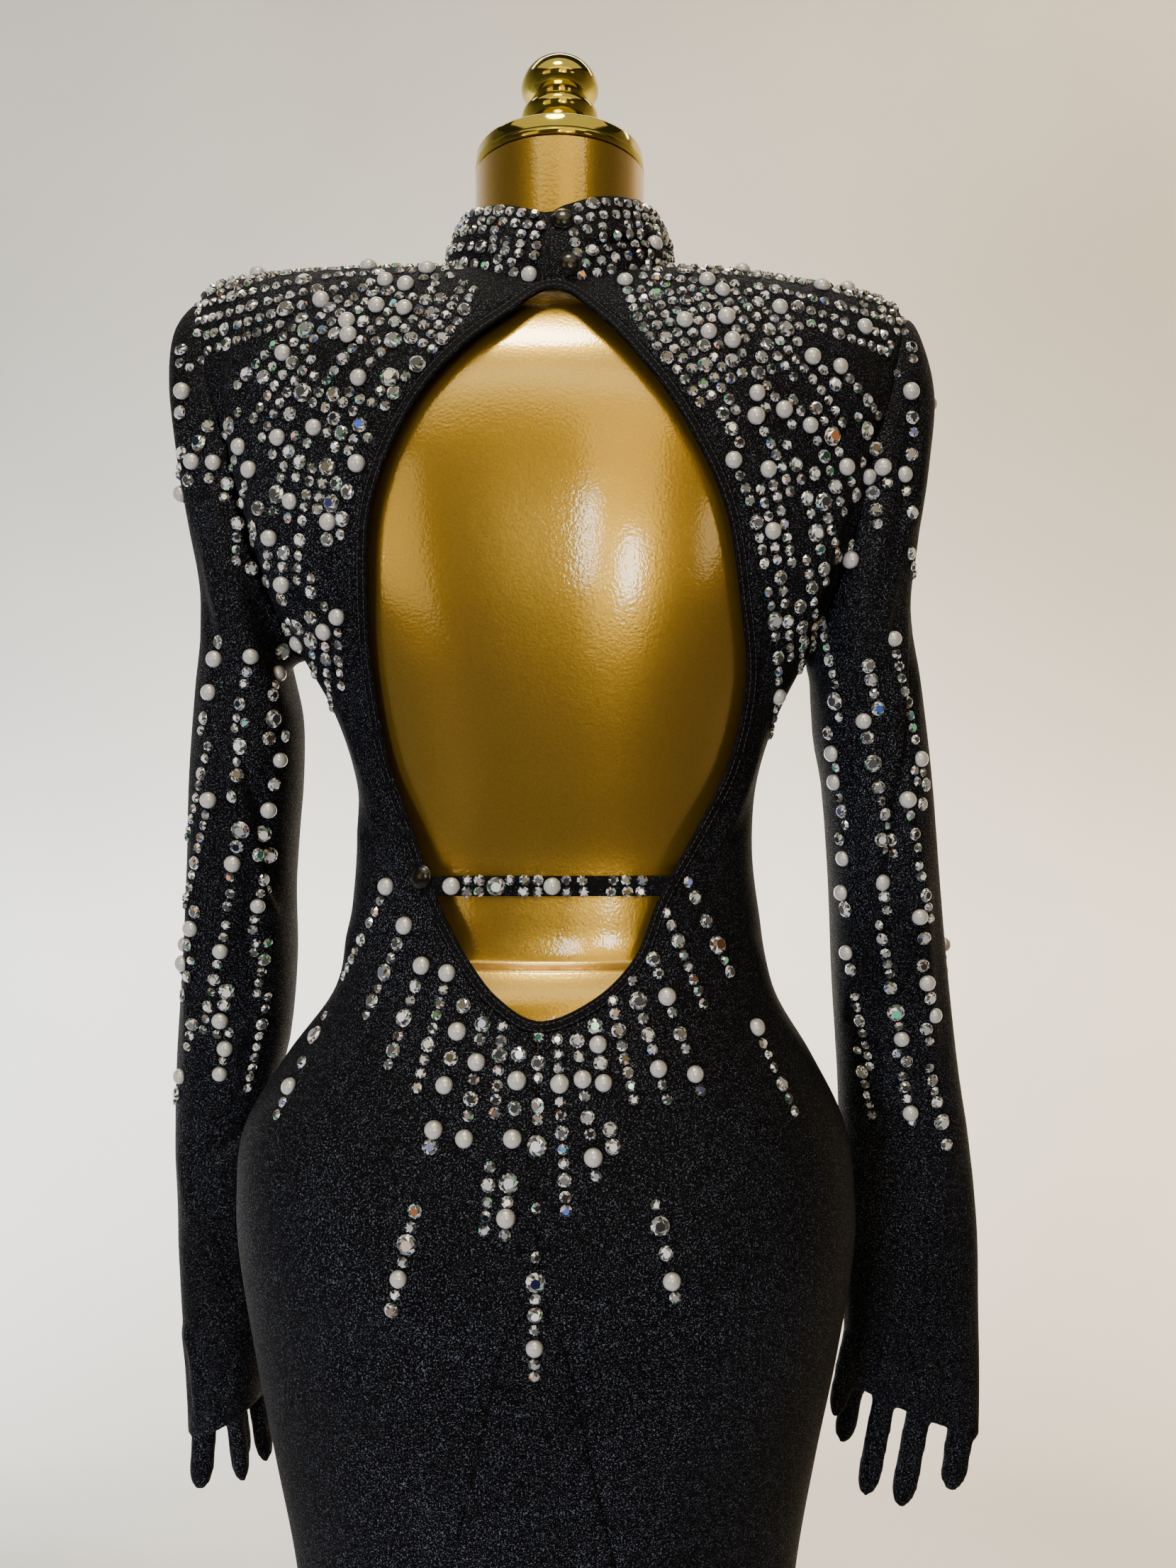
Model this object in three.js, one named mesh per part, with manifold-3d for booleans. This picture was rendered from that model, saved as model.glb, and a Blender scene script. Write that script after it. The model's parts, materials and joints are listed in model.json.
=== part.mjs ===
// A floor-length bodycon dress with long gloved sleeves, standing on a limbless dress form.
// Units are millimetres, +Z is up, and the origin is the centre of the base's underside on the floor.
// The open back faces -Y, the chest faces +Y, and +X is the right-hand side of the back view.

import * as THREE from "three";
import { mergeVertices } from "three/addons/utils/BufferGeometryUtils.js";
import Module from "manifold-3d";

const wasm = await Module();
wasm.setup();

// ---- Driving dimensions ----

const CLOTH = 1.5;             // wall of the stretch cloth
const SEAM = 0.3;              // gap between sewn pieces, and between stacked hard pieces
const HEM_Z = 60;
const RIDGE_Z = 1454;          // top line of the padded shoulders
const SIDE_SEAM_Y = 0;
const BACK_SEAM_X = -4;
const AROUND = 28;             // points in one ring of the dress body
const SLEEVE_AROUND = 12;
const TIDY = 0.03;             // slivers thinner than this, left by a cut, are merged away
const SQUARENESS = 2.4;        // exponent of the body's oval sections: 2 is an ellipse

const PAD_DROP = { left: 0, right: 9 };   // how far each shoulder pad has slipped down at its tip

// Dress body, cloth surface: half width at the side seams, depth behind and in front of them,
// and how far the middle of the section stands to the right of the stand's axis.
const DRESS_LEVELS = [
  { z: 60, half: 232, back: 212, front: 150, mid: -2.5 },
  { z: 110, half: 218, back: 198, front: 141, mid: -2.5 },
  { z: 180, half: 196, back: 175, front: 127, mid: -2.5 },
  { z: 260, half: 172, back: 148, front: 114, mid: -2.5 },
  { z: 350, half: 151, back: 121, front: 103, mid: -2.5 },
  { z: 450, half: 139, back: 103, front: 96, mid: -2.5 },
  { z: 550, half: 138, back: 95, front: 93, mid: -2.5 },
  { z: 640, half: 143, back: 92, front: 93, mid: -2.2 },
  { z: 700, half: 149, back: 92, front: 94, mid: -2.2 },
  { z: 760, half: 160, back: 98, front: 96, mid: -2.6 },
  { z: 820, half: 171.5, back: 107, front: 97, mid: -2 },
  { z: 880, half: 181, back: 113, front: 98, mid: -2 },
  { z: 910, half: 182, back: 114, front: 98, mid: -2.5 },
  { z: 950, half: 177.5, back: 110, front: 97, mid: -3.2 },
  { z: 990, half: 156, back: 104, front: 94, mid: -1 },
  { z: 1030, half: 130, back: 95, front: 90, mid: 1.8 },
  { z: 1070, half: 122, back: 87, front: 86, mid: 2.6 },
  { z: 1110, half: 117.8, back: 81, front: 83, mid: 2.2 },
  { z: 1150, half: 119.5, back: 80, front: 84, mid: 3.2 },
  { z: 1190, half: 131.5, back: 84, front: 92, mid: 3.4 },
  { z: 1225, half: 150.5, back: 88, front: 98, mid: 2.6 },
  { z: 1260, half: 174, back: 92, front: 102, mid: 1.6 },
  { z: 1300, half: 192, back: 94, front: 102, mid: 0.6 },
  { z: 1340, half: 203, back: 92, front: 94, mid: 0 },
  { z: 1380, half: 211, back: 87, front: 79, mid: 0 },
  { z: 1410, half: 214, back: 75, front: 59, mid: 0 },
  { z: 1428, half: 213, back: 63, front: 50, mid: 0 },
  { z: 1442, half: 208, back: 47, front: 38, mid: 0 },
  { z: 1450, half: 198, back: 28, front: 24, mid: 0 },
  { z: RIDGE_Z, half: 183, back: 9, front: 9, mid: 0 },
];

// Painted body of the form, inside the cloth, with its hollow back and its ledge above the hips.
const FORM_LEVELS = [
  { z: 765, half: 156, back: 90, front: 89 },
  { z: 820, half: 167, back: 101, front: 92 },
  { z: 880, half: 176, back: 108, front: 93 },
  { z: 910, half: 176.5, back: 109, front: 93 },
  { z: 950, half: 171.5, back: 105, front: 92 },
  { z: 990, half: 150.5, back: 98, front: 89 },
  { z: 1030, half: 125, back: 89, front: 85 },
  { z: 1049, half: 120.5, back: 85, front: 82.5 },
  { z: 1053, half: 118.5, back: 81.5, front: 82 },
  { z: 1080, half: 115, back: 74.5, front: 79.5 },
  { z: 1110, half: 112.8, back: 70, front: 78 },
  { z: 1150, half: 114.5, back: 70, front: 79 },
  { z: 1190, half: 126, back: 75.5, front: 87 },
  { z: 1225, half: 141, back: 81, front: 92 },
  { z: 1260, half: 155, back: 85.5, front: 95 },
  { z: 1300, half: 165, back: 87, front: 95 },
  { z: 1340, half: 171, back: 84.5, front: 86 },
  { z: 1380, half: 170, back: 78, front: 71 },
  { z: 1405, half: 148, back: 68, front: 54 },
  { z: 1420, half: 122, back: 58, front: 47 },
  { z: 1432, half: 96, back: 48, front: 38 },
  { z: 1442, half: 66, back: 34, front: 26 },
];
const NECK = { x: 5, radius: 51, lowZ: 1390, topZ: 1515 };   // x: the neck stands right of the axis

// Soft mounds on the body's sections: bust in front, seat behind, and the spine's valley.
const BUST = { x: 88, z: 1283, wide: 46, tall: 52, dress: 18, form: 18 };
const SEAT = { x: 84, z: 880, wide: 58, tall: 72, dress: 4, form: 6 };
const SPINE = { wide: 30, low: 1085, high: 1395, form: 6 };

// Flutes of the hem, deeper behind, where the godet adds cloth.
const FLUTES = { count: 7, topZ: 500, front: 4, back: 17, phase: 0.9 };

// Edge of the opening in the back, as seen square on from behind.
const CUTOUT_APEX = { x: 3.5, z: 1421.5 };
const CUTOUT_FOOT = { x: -4, z: 1025.5 };
const CUTOUT_SIDES = [
  { z: 1402, left: -23, right: 28.5 },
  { z: 1381, left: -47, right: 46.5 },
  { z: 1350, left: -72, right: 69.5 },
  { z: 1300, left: -93, right: 94.5 },
  { z: 1250, left: -97, right: 104.5 },
  { z: 1205, left: -95.5, right: 109.5 },
  { z: 1160, left: -88, right: 100.5 },
  { z: 1125, left: -74.5, right: 82 },
  { z: 1088, left: -60, right: 60.5 },
  { z: 1058, left: -43, right: 47.5 },
  { z: 1037, left: -25.5, right: 26 },
];
const BINDING = { width: 6, proud: 0.8 };

// Side edges of the flared insert below the back seam.
const GODET_EDGE = [
  { z: 885, left: -5, right: -3 },
  { z: 871, left: -17, right: 6.5 },
  { z: 855, left: -23, right: 12 },
  { z: 830, left: -28.5, right: 17.5 },
  { z: 780, left: -40, right: 27.5 },
  { z: 738, left: -50, right: 37 },
  { z: 600, left: -83, right: 69 },
  { z: 450, left: -112, right: 98 },
  { z: 300, left: -143, right: 129 },
  { z: 160, left: -171, right: 157 },
  { z: 30, left: -197, right: 183 },
];

// Standing collar: an open band that laps at the back, and the oval it is sewn into.
const NECKLINE = { halfX: 68.3, halfY: 64.3 };
const COLLAR = { rimHalfX: 56.5, rimHalfY: 56, lapFromDeg: 17, sweepDeg: 381, lapDeg: 21, tuck: 2.3, steps: 36 };
// Rim height round the collar, by angle from the middle of the back towards the right.
const COLLAR_RIM = [
  { deg: -180, z: 1452 },
  { deg: -130, z: 1470 },
  { deg: -90, z: 1488 },
  { deg: -68, z: 1486 },
  { deg: -36, z: 1478 },
  { deg: -5, z: 1471.5 },
  { deg: 25, z: 1480.5 },
  { deg: 51, z: 1486 },
  { deg: 90, z: 1491 },
  { deg: 135, z: 1471 },
  { deg: 180, z: 1452 },
];
const COLLAR_RISE = [
  { f: 0, pull: 0 },
  { f: 0.3, pull: 0.07 },
  { f: 0.65, pull: 0.42 },
  { f: 1, pull: 1 },
];

// Strap across the opening, and the domed snap buttons.
const STRAP = { z: 1095, height: 11, thick: 1.6, endY: -75, sag: 2.5, halfX: 75 };
const BUTTON = { radius: 6.5, rise: 3.6, rim: 1, post: 2.2 };
// The strap's snap stands on a post, clear of the strap's end that lies under its edge.
const STRAP_SNAP = { angleDeg: 238.2, z: 1099.5, postLength: 2.1, clear: 0.2 };

// Armhole, seen from the side.
const ARMHOLE = { z: 1332, halfY: 47, halfUp: 108, topDrop: { left: 0, right: 10 } };

// Sleeves: each row is one oval ring, from its outer to its inner edge, with its half depth.
const SLEEVE_LEFT = [
  { outX: 223, outZ: 1424, inX: 159, inZ: 1219, midY: 0, deep: 47 },
  { outX: 226.5, outZ: 1396, inX: 158, inZ: 1210, midY: 0, deep: 48 },
  { outX: 221.5, outZ: 1352, inX: 155, inZ: 1199, midY: 0, deep: 47 },
  { outX: 214.5, outZ: 1308, inX: 152.5, inZ: 1188, midY: 1, deep: 46 },
  { outX: 208.5, outZ: 1260, inX: 152, inZ: 1174, midY: 3, deep: 43 },
  { outX: 214, outZ: 1208, inX: 153, inZ: 1149, midY: 6, deep: 41 },
  { outX: 219, outZ: 1160, inX: 156, inZ: 1122, midY: 10, deep: 40 },
  { outX: 223, outZ: 1101, inX: 159.5, inZ: 1086, midY: 16, deep: 39 },
  { outX: 229.5, outZ: 1045, inX: 161.5, inZ: 1040, midY: 27, deep: 38 },
  { outX: 236, outZ: 995, inX: 168, inZ: 992, midY: 37, deep: 37 },
  { outX: 240.5, outZ: 945, inX: 180, inZ: 945, midY: 47, deep: 37 },
  { outX: 241.5, outZ: 890, inX: 183, inZ: 890, midY: 52, deep: 37 },
  { outX: 239, outZ: 830, inX: 183, inZ: 832, midY: 52, deep: 36 },
  { outX: 235, outZ: 768, inX: 184, inZ: 780, midY: 52, deep: 35 },
  { outX: 234.5, outZ: 735, inX: 187, inZ: 757, midY: 52, deep: 32 },
];
const SLEEVE_RIGHT = [
  { outX: 220, outZ: 1418, inX: 155, inZ: 1220, midY: 0, deep: 47 },
  { outX: 228, outZ: 1386, inX: 157, inZ: 1212, midY: 0, deep: 48 },
  { outX: 225, outZ: 1344, inX: 157.5, inZ: 1202, midY: 0, deep: 47 },
  { outX: 218.5, outZ: 1300, inX: 158.5, inZ: 1190, midY: 1, deep: 46 },
  { outX: 214.5, outZ: 1262, inX: 160, inZ: 1175, midY: 3, deep: 43 },
  { outX: 222.5, outZ: 1210, inX: 165, inZ: 1150, midY: 6, deep: 41 },
  { outX: 229.7, outZ: 1160, inX: 168, inZ: 1124, midY: 10, deep: 40 },
  { outX: 236.8, outZ: 1095, inX: 171.5, inZ: 1084, midY: 16, deep: 39 },
  { outX: 246, outZ: 1030, inX: 175.5, inZ: 1028, midY: 27, deep: 36 },
  { outX: 256, outZ: 970, inX: 181, inZ: 970, midY: 38, deep: 33.5 },
  { outX: 266, outZ: 920, inX: 184, inZ: 920, midY: 46, deep: 30 },
  { outX: 271.5, outZ: 865, inX: 184.5, inZ: 865, midY: 47, deep: 27 },
  { outX: 272.5, outZ: 815, inX: 186, inZ: 815, midY: 46, deep: 22 },
  { outX: 273.5, outZ: 768, inX: 188, inZ: 785, midY: 46, deep: 16 },
  { outX: 273.5, outZ: 730, inX: 193, inZ: 764, midY: 46, deep: 11 },
];

// Glove fingers: root and tip of each one's middle line, its half width and which way it faces.
const FINGER_THICK = 5.5;      // half thickness
const FINGER_SINK = 14;        // how far a finger's solid runs up into the palm
const FINGERS_LEFT = [
  { rootX: 225.5, rootY: 50, rootZ: 741, tipX: 227, tipY: 44, tipZ: 696.5, half: 8.6, faceDeg: 15 },
  { rootX: 204, rootY: 40, rootZ: 755, tipX: 196, tipY: 32, tipZ: 709, half: 7.4, faceDeg: 60 },
  { rootX: 195, rootY: 56, rootZ: 760, tipX: 187, tipY: 54, tipZ: 709, half: 7.2, faceDeg: 75 },
  { rootX: 211, rootY: 66, rootZ: 749, tipX: 206, tipY: 70, tipZ: 702, half: 7.4, faceDeg: 40 },
  { rootX: 199, rootY: 74, rootZ: 760, tipX: 192, tipY: 84, tipZ: 724, half: 7.2, faceDeg: 80 },
];
const FINGERS_RIGHT = [
  { rootX: 262, rootY: 46, rootZ: 738, tipX: 254.5, tipY: 42, tipZ: 697, half: 9, faceDeg: 0 },
  { rootX: 235, rootY: 46, rootZ: 747, tipX: 222, tipY: 42, tipZ: 687, half: 8.6, faceDeg: 0 },
  { rootX: 213, rootY: 46, rootZ: 757, tipX: 200, tipY: 44, tipZ: 693, half: 8, faceDeg: 0 },
  { rootX: 196, rootY: 50, rootZ: 775, tipX: 188.5, tipY: 58, tipZ: 719.5, half: 7.6, faceDeg: 10 },
  { rootX: 191, rootY: 44, rootZ: 794, tipX: 179.5, tipY: 39, tipZ: 746, half: 6.8, faceDeg: 8 },
];

// Hard pieces of the form, each from its axis outwards.
const CAP = { bottomZ: 1515.3, topZ: 1528, radius: 51, topRadius: 49.8, edge: 1.2 };
const FINIAL_PROFILE = [
  { r: 0, z: 1528.3 }, { r: 13, z: 1528.3 }, { r: 13, z: 1540 }, { r: 18.5, z: 1544 },
  { r: 22.6, z: 1549 }, { r: 23, z: 1552 }, { r: 21.5, z: 1555.5 }, { r: 17.2, z: 1558.5 },
  { r: 17.2, z: 1560.5 }, { r: 20.5, z: 1563.5 }, { r: 23.2, z: 1567.5 }, { r: 23.2, z: 1568.8 },
];
const FINIAL_DOME = { radius: 22.6, rise: 17.5, z: 1569.2, steps: 6 };
const FORM_FOOT_Z = 765;
const FLANGE = { radius: 46, topZ: FORM_FOOT_Z - SEAM, plate: 8, boss: 19, height: 30 };
const POLE_RADIUS = 12.5;
const BASE = { radius: 165, thick: 14, edge: 4, hubRadius: 26, hubTop: 44 };

const COLOURS = {
  cloth: 0x15151a, binding: 0x0e0e11, snap: 0x08080a, paint: 0xc39a3c, plated: 0xd9bb45,
};

// ---- Tables and sections ----

// A column of a table at any height, along a smooth curve through its rows.
function readColumn(rows, key, at, by = "z") {
  const rising = rows[0][by] < rows[rows.length - 1][by] ? rows : [...rows].reverse();
  const last = rising.length - 1;
  const x = Math.min(Math.max(at, rising[0][by]), rising[last][by]);
  let i = 0;
  while (i < last - 1 && x > rising[i + 1][by]) i += 1;
  const slope = (k) => {
    const a = Math.max(k - 1, 0);
    const b = Math.min(k + 1, last);
    return (rising[b][key] - rising[a][key]) / (rising[b][by] - rising[a][by]);
  };
  const gap = rising[i + 1][by] - rising[i][by];
  const t = (x - rising[i][by]) / gap;
  const fromStart = (2 * t ** 3 - 3 * t ** 2 + 1) * rising[i][key] + (t ** 3 - 2 * t ** 2 + t) * gap * slope(i);
  const fromEnd = (3 * t ** 2 - 2 * t ** 3) * rising[i + 1][key] + (t ** 3 - t ** 2) * gap * slope(i + 1);
  return fromStart + fromEnd;
}

function smoothStep(from, to, value) {
  const t = Math.min(Math.max((value - from) / (to - from), 0), 1);
  return t * t * (3 - 2 * t);
}

const bell = (value, width) => Math.exp(-((value / width) ** 2));
const powered = (value, power) => Math.sign(value) * Math.abs(value) ** power;

// One point of a body section. Angle 0 is +X and a quarter turn is +Y, the chest.
function bodyPoint(levels, angle, z, mounds) {
  const side = powered(Math.cos(angle), 2 / SQUARENESS);
  const fore = powered(Math.sin(angle), 2 / SQUARENESS);
  const x = readColumn(levels, "half", z) * side;
  const depth = readColumn(levels, fore > 0 ? "front" : "back", z);
  const bust = bell(Math.abs(x) - BUST.x, BUST.wide) * bell(z - BUST.z, BUST.tall) * BUST[mounds];
  const seat = bell(Math.abs(x) - SEAT.x, SEAT.wide) * bell(z - SEAT.z, SEAT.tall) * SEAT[mounds];
  const mound = fore > 0 ? bust : seat;
  const middle = readColumn(DRESS_LEVELS, "mid", z);
  return new THREE.Vector3(middle + x, depth * fore + mound * fore, z);
}

function dressSurface(angle, z) {
  const p = bodyPoint(DRESS_LEVELS, angle, z, "dress");
  const grow = 1 - smoothStep(HEM_Z, FLUTES.topZ, z);
  const behind = 0.5 - 0.5 * Math.sin(angle);
  const reach = FLUTES.front + (FLUTES.back - FLUTES.front) * behind;
  const flute = grow * grow * reach * Math.cos(FLUTES.count * angle + FLUTES.phase);
  p.x += flute * Math.cos(angle);
  p.y += flute * Math.sin(angle);
  const tip = smoothStep(75, 205, Math.abs(p.x)) * smoothStep(1280, 1435, z);
  p.z -= tip * (p.x > 0 ? PAD_DROP.right : PAD_DROP.left);
  return p;
}

function formSurface(angle, z) {
  const p = bodyPoint(FORM_LEVELS, angle, z, "form");
  const along = smoothStep(SPINE.low, SPINE.low + 70, z) * (1 - smoothStep(SPINE.high - 90, SPINE.high, z));
  if (p.y < 0) p.y += SPINE.form * along * bell(p.x, SPINE.wide);
  return p;
}

// The dress surface moved out along its normal.
function dressPoint(angle, z, out = 0) {
  const p = dressSurface(angle, z);
  if (out === 0) return p;
  const round = dressSurface(angle + 0.01, z).sub(dressSurface(angle - 0.01, z));
  const low = Math.max(z - 1, HEM_Z);
  const high = Math.min(z + 1, RIDGE_Z);
  const up = dressSurface(angle, high).sub(dressSurface(angle, low));
  return p.add(round.cross(up).normalize().multiplyScalar(out));
}

// Height of the dress surface above a point near the neck.
function dressHeightAt(x, y) {
  let low = 1380;
  let high = RIDGE_Z;
  for (let i = 0; i < 30; i += 1) {
    const z = (low + high) / 2;
    const depth = readColumn(DRESS_LEVELS, y > 0 ? "front" : "back", z);
    const across = Math.abs(x) / readColumn(DRESS_LEVELS, "half", z);
    const inside = across ** SQUARENESS + (Math.abs(y) / depth) ** SQUARENESS < 1;
    if (inside) low = z;
    else high = z;
  }
  return low;
}

// ---- Solids ----

function toManifold(geometry) {
  const bare = geometry.clone();
  bare.deleteAttribute("normal");
  bare.deleteAttribute("uv");
  const merged = mergeVertices(bare, 1e-4);
  const mesh = new wasm.Mesh({
    numProp: 3,
    vertProperties: new Float32Array(merged.attributes.position.array),
    triVerts: new Uint32Array(merged.index.array),
  });
  return new wasm.Manifold(mesh);
}

function toGeometry(solid) {
  const mesh = largestBody(solid.asOriginal().simplify(TIDY)).getMesh();
  const geometry = new THREE.BufferGeometry();
  geometry.setAttribute("position", new THREE.BufferAttribute(new Float32Array(mesh.vertProperties), 3));
  geometry.setIndex(new THREE.BufferAttribute(new Uint32Array(mesh.triVerts), 1));
  return geometry;
}

// Triangles to a geometry whose faces point out.
function closedGeometry(points, triangles) {
  let volume = 0;
  for (const [a, b, c] of triangles) {
    volume += points[a].dot(new THREE.Vector3().crossVectors(points[b], points[c]));
  }
  const index = volume > 0 ? triangles.flat() : triangles.flatMap(([a, b, c]) => [a, c, b]);
  const geometry = new THREE.BufferGeometry();
  geometry.setAttribute("position", new THREE.Float32BufferAttribute(points.flatMap((p) => p.toArray()), 3));
  geometry.setIndex(index);
  return geometry;
}

function largestBody(solid) {
  return solid.decompose().reduce((best, one) => (one.volume() > best.volume() ? one : best));
}

// Rings of equally many points, joined in order and closed at both ends.
function loft(rings) {
  const n = rings[0].length;
  const points = rings.flat();
  const triangles = [];
  for (let r = 0; r < rings.length - 1; r += 1) {
    for (let k = 0; k < n; k += 1) {
      const a = r * n + k;
      const b = r * n + ((k + 1) % n);
      triangles.push([a, b, b + n], [a, b + n, a + n]);
    }
  }
  const endCap = (start, flip) => {
    const middle = new THREE.Vector3();
    for (let k = 0; k < n; k += 1) middle.addScaledVector(points[start + k], 1 / n);
    points.push(middle);
    const hub = points.length - 1;
    for (let k = 0; k < n; k += 1) {
      const a = start + k;
      const b = start + ((k + 1) % n);
      triangles.push(flip ? [hub, b, a] : [hub, a, b]);
    }
  };
  endCap(0, true);
  endCap((rings.length - 1) * n, false);
  return toManifold(closedGeometry(points, triangles));
}

// A sheet of points given a thickness: outer and inner rows are joined along all four edges.
function slab(outer, inner) {
  const loops = outer.map((row, r) => [...row, ...[...inner[r]].reverse()]);
  return loft(loops);
}

// A closed outline drawn in X and Z, run along Y.
function prismAlongY(outline, fromY, toY) {
  const shape = new THREE.Shape(outline.map((p) => new THREE.Vector2(p.x, p.z)));
  const geometry = new THREE.ExtrudeGeometry(shape, { depth: toY - fromY, bevelEnabled: false });
  geometry.rotateX(Math.PI / 2);
  geometry.translate(0, toY, 0);
  return toManifold(geometry);
}

// An oval in Y and Z, run along X.
function ovalAlongX(oval, fromX, toX) {
  const geometry = new THREE.CylinderGeometry(1, 1, toX - fromX, 40);
  geometry.rotateZ(Math.PI / 2);
  geometry.scale(1, oval.halfY, oval.halfUp);
  geometry.translate((fromX + toX) / 2, 0, oval.z);
  return toManifold(geometry);
}

function lathe(profile, segments) {
  return new THREE.LatheGeometry(profile.map((p) => new THREE.Vector2(p.r, p.z)), segments);
}

// ---- Opening, godet and armhole outlines ----

// The opening's edge as a closed outline, moved outwards by a margin.
function cutoutOutline(margin) {
  const down = CUTOUT_SIDES.map((row) => new THREE.Vector3(row.left, 0, row.z));
  const up = [...CUTOUT_SIDES].reverse().map((row) => new THREE.Vector3(row.right, 0, row.z));
  const apex = new THREE.Vector3(CUTOUT_APEX.x, 0, CUTOUT_APEX.z);
  const foot = new THREE.Vector3(CUTOUT_FOOT.x, 0, CUTOUT_FOOT.z);
  const edge = new THREE.CatmullRomCurve3([apex, ...down, foot, ...up], true, "centripetal");
  const points = edge.getPoints(40).slice(0, -1);
  return points.map((p, i) => {
    const along = points[(i + 1) % points.length].clone().sub(points[(i + points.length - 1) % points.length]);
    const outwards = new THREE.Vector3(along.z, 0, -along.x).normalize();
    return p.clone().addScaledVector(outwards, margin);
  });
}

function godetOutline(margin) {
  const left = GODET_EDGE.map((row) => ({ x: row.left - margin, z: row.z + margin }));
  const right = GODET_EDGE.map((row) => ({ x: row.right + margin, z: row.z + margin })).reverse();
  return [...left, ...right];
}

function armhole(side, shrink) {
  const drop = ARMHOLE.topDrop[side] / 2;
  return {
    z: ARMHOLE.z - drop,
    halfY: ARMHOLE.halfY - shrink,
    halfUp: ARMHOLE.halfUp - drop - shrink,
  };
}

// ---- Dress body ----

const BODY_RINGS = [
  60, 100, 160, 240, 340, 450, 560, 660, 740, 810, 880, 940, 985, 1025, 1070, 1120, 1170, 1215,
  1260, 1310, 1355, 1395, 1424, 1441, 1450, RIDGE_Z,
];

function bodyRing(z, out) {
  const ring = [];
  for (let k = 0; k < AROUND; k += 1) ring.push(dressPoint((k / AROUND) * 2 * Math.PI, z, out));
  return ring;
}

// Everything between two copies of the dress surface, open at the hem.
function bodyShell(outside, inside) {
  const outer = BODY_RINGS.map((z) => bodyRing(z, outside));
  const inner = BODY_RINGS.map((z) => bodyRing(z, -inside));
  const below = inner[0].map((p) => new THREE.Vector3(p.x, p.y, HEM_Z - 10));
  return loft(outer).subtract(loft([below, ...inner]));
}

function necklinePrism(grow) {
  const sides = 48;
  const corner = 1 / Math.cos(Math.PI / sides);   // keeps the flats as far out as the oval
  const geometry = new THREE.CylinderGeometry(corner, corner, 120, sides);
  geometry.rotateX(Math.PI / 2);
  geometry.scale(NECKLINE.halfX + grow, NECKLINE.halfY + grow, 1);
  geometry.translate(NECK.x, 0, 1448);
  return toManifold(geometry);
}

function dressPanels() {
  const open = bodyShell(0, CLOTH)
    .subtract(necklinePrism(0))
    .subtract(ovalAlongX(armhole("right", 0), 100, 260))
    .subtract(ovalAlongX(armhole("left", 0), -260, -100));
  const front = open.trimByPlane([0, 1, 0], SIDE_SEAM_Y + SEAM / 2);
  const back = open
    .trimByPlane([0, -1, 0], SEAM / 2 - SIDE_SEAM_Y)
    .subtract(prismAlongY(cutoutOutline(BINDING.width), -200, 0));
  const godet = back.intersect(prismAlongY(godetOutline(-SEAM / 2), -300, 0));
  const besideGodet = back.subtract(prismAlongY(godetOutline(SEAM / 2), -300, 0));
  return {
    dress_front: front,
    back_left: largestBody(besideGodet.trimByPlane([-1, 0, 0], SEAM / 2 - BACK_SEAM_X)),
    back_right: largestBody(besideGodet.trimByPlane([1, 0, 0], BACK_SEAM_X + SEAM / 2)),
    back_godet: godet,
  };
}

// The narrow band sewn round the opening, a little thicker than the panels.
function cutoutBinding() {
  const band = prismAlongY(cutoutOutline(BINDING.width - SEAM), -200, 0)
    .subtract(prismAlongY(cutoutOutline(0), -200, 0));
  return bodyShell(BINDING.proud, CLOTH)
    .intersect(band)
    .subtract(necklinePrism(SEAM));
}

// ---- Collar ----

// deg runs from the middle of the back to the right, f from the seam to the rim. out moves the
// point away from the neck, and lower lets the rim down.
function collarPoint(deg, f, out, lower = 0) {
  const angle = THREE.MathUtils.degToRad(deg - 90);
  const pull = readColumn(COLLAR_RISE, "pull", f, "f");
  const halfX = THREE.MathUtils.lerp(NECKLINE.halfX - SEAM, COLLAR.rimHalfX, pull) + out;
  const halfY = THREE.MathUtils.lerp(NECKLINE.halfY - SEAM, COLLAR.rimHalfY, pull) + out;
  const x = Math.cos(angle);
  const y = Math.sin(angle);
  const foot = dressHeightAt(NECK.x + x * NECKLINE.halfX, y * NECKLINE.halfY) - CLOTH;
  const turned = ((deg + 540) % 360) - 180;
  const rim = readColumn(COLLAR_RIM, "z", turned, "deg") - lower;
  return new THREE.Vector3(NECK.x + x * halfX, y * halfY, THREE.MathUtils.lerp(foot, rim, f));
}

function collar() {
  const outer = [];
  const inner = [];
  for (let i = 0; i <= COLLAR.steps; i += 1) {
    const turned = (i / COLLAR.steps) * COLLAR.sweepDeg;
    const deg = COLLAR.lapFromDeg - turned;
    const under = 1 - smoothStep(COLLAR.lapDeg + 2, COLLAR.lapDeg + 22, turned);
    const tucked = -COLLAR.tuck * under;
    outer.push(COLLAR_RISE.map((row) => collarPoint(deg, row.f, tucked, under)));
    inner.push(COLLAR_RISE.map((row) => collarPoint(deg, row.f, tucked - CLOTH, under)));
  }
  return slab(outer, inner);
}

// ---- Sleeves and gloves ----

function sleeveRow(row, sign, phi) {
  const across = powered(Math.cos(phi), 2 / 2.2);
  const deep = powered(Math.sin(phi), 2 / 2.2);
  return new THREE.Vector3(
    sign * ((row.outX + row.inX) / 2 + ((row.outX - row.inX) / 2) * across),
    row.midY + row.deep * deep,
    (row.outZ + row.inZ) / 2 + ((row.outZ - row.inZ) / 2) * across,
  );
}

// The dress body's half width at a height and depth beside the armhole.
function bodySideX(y, z) {
  const depth = readColumn(DRESS_LEVELS, y > 0 ? "front" : "back", z);
  const rest = Math.max(1 - (Math.abs(y) / depth) ** SQUARENESS, 0);
  return readColumn(DRESS_LEVELS, "half", z) * rest ** (1 / SQUARENESS);
}

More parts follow.
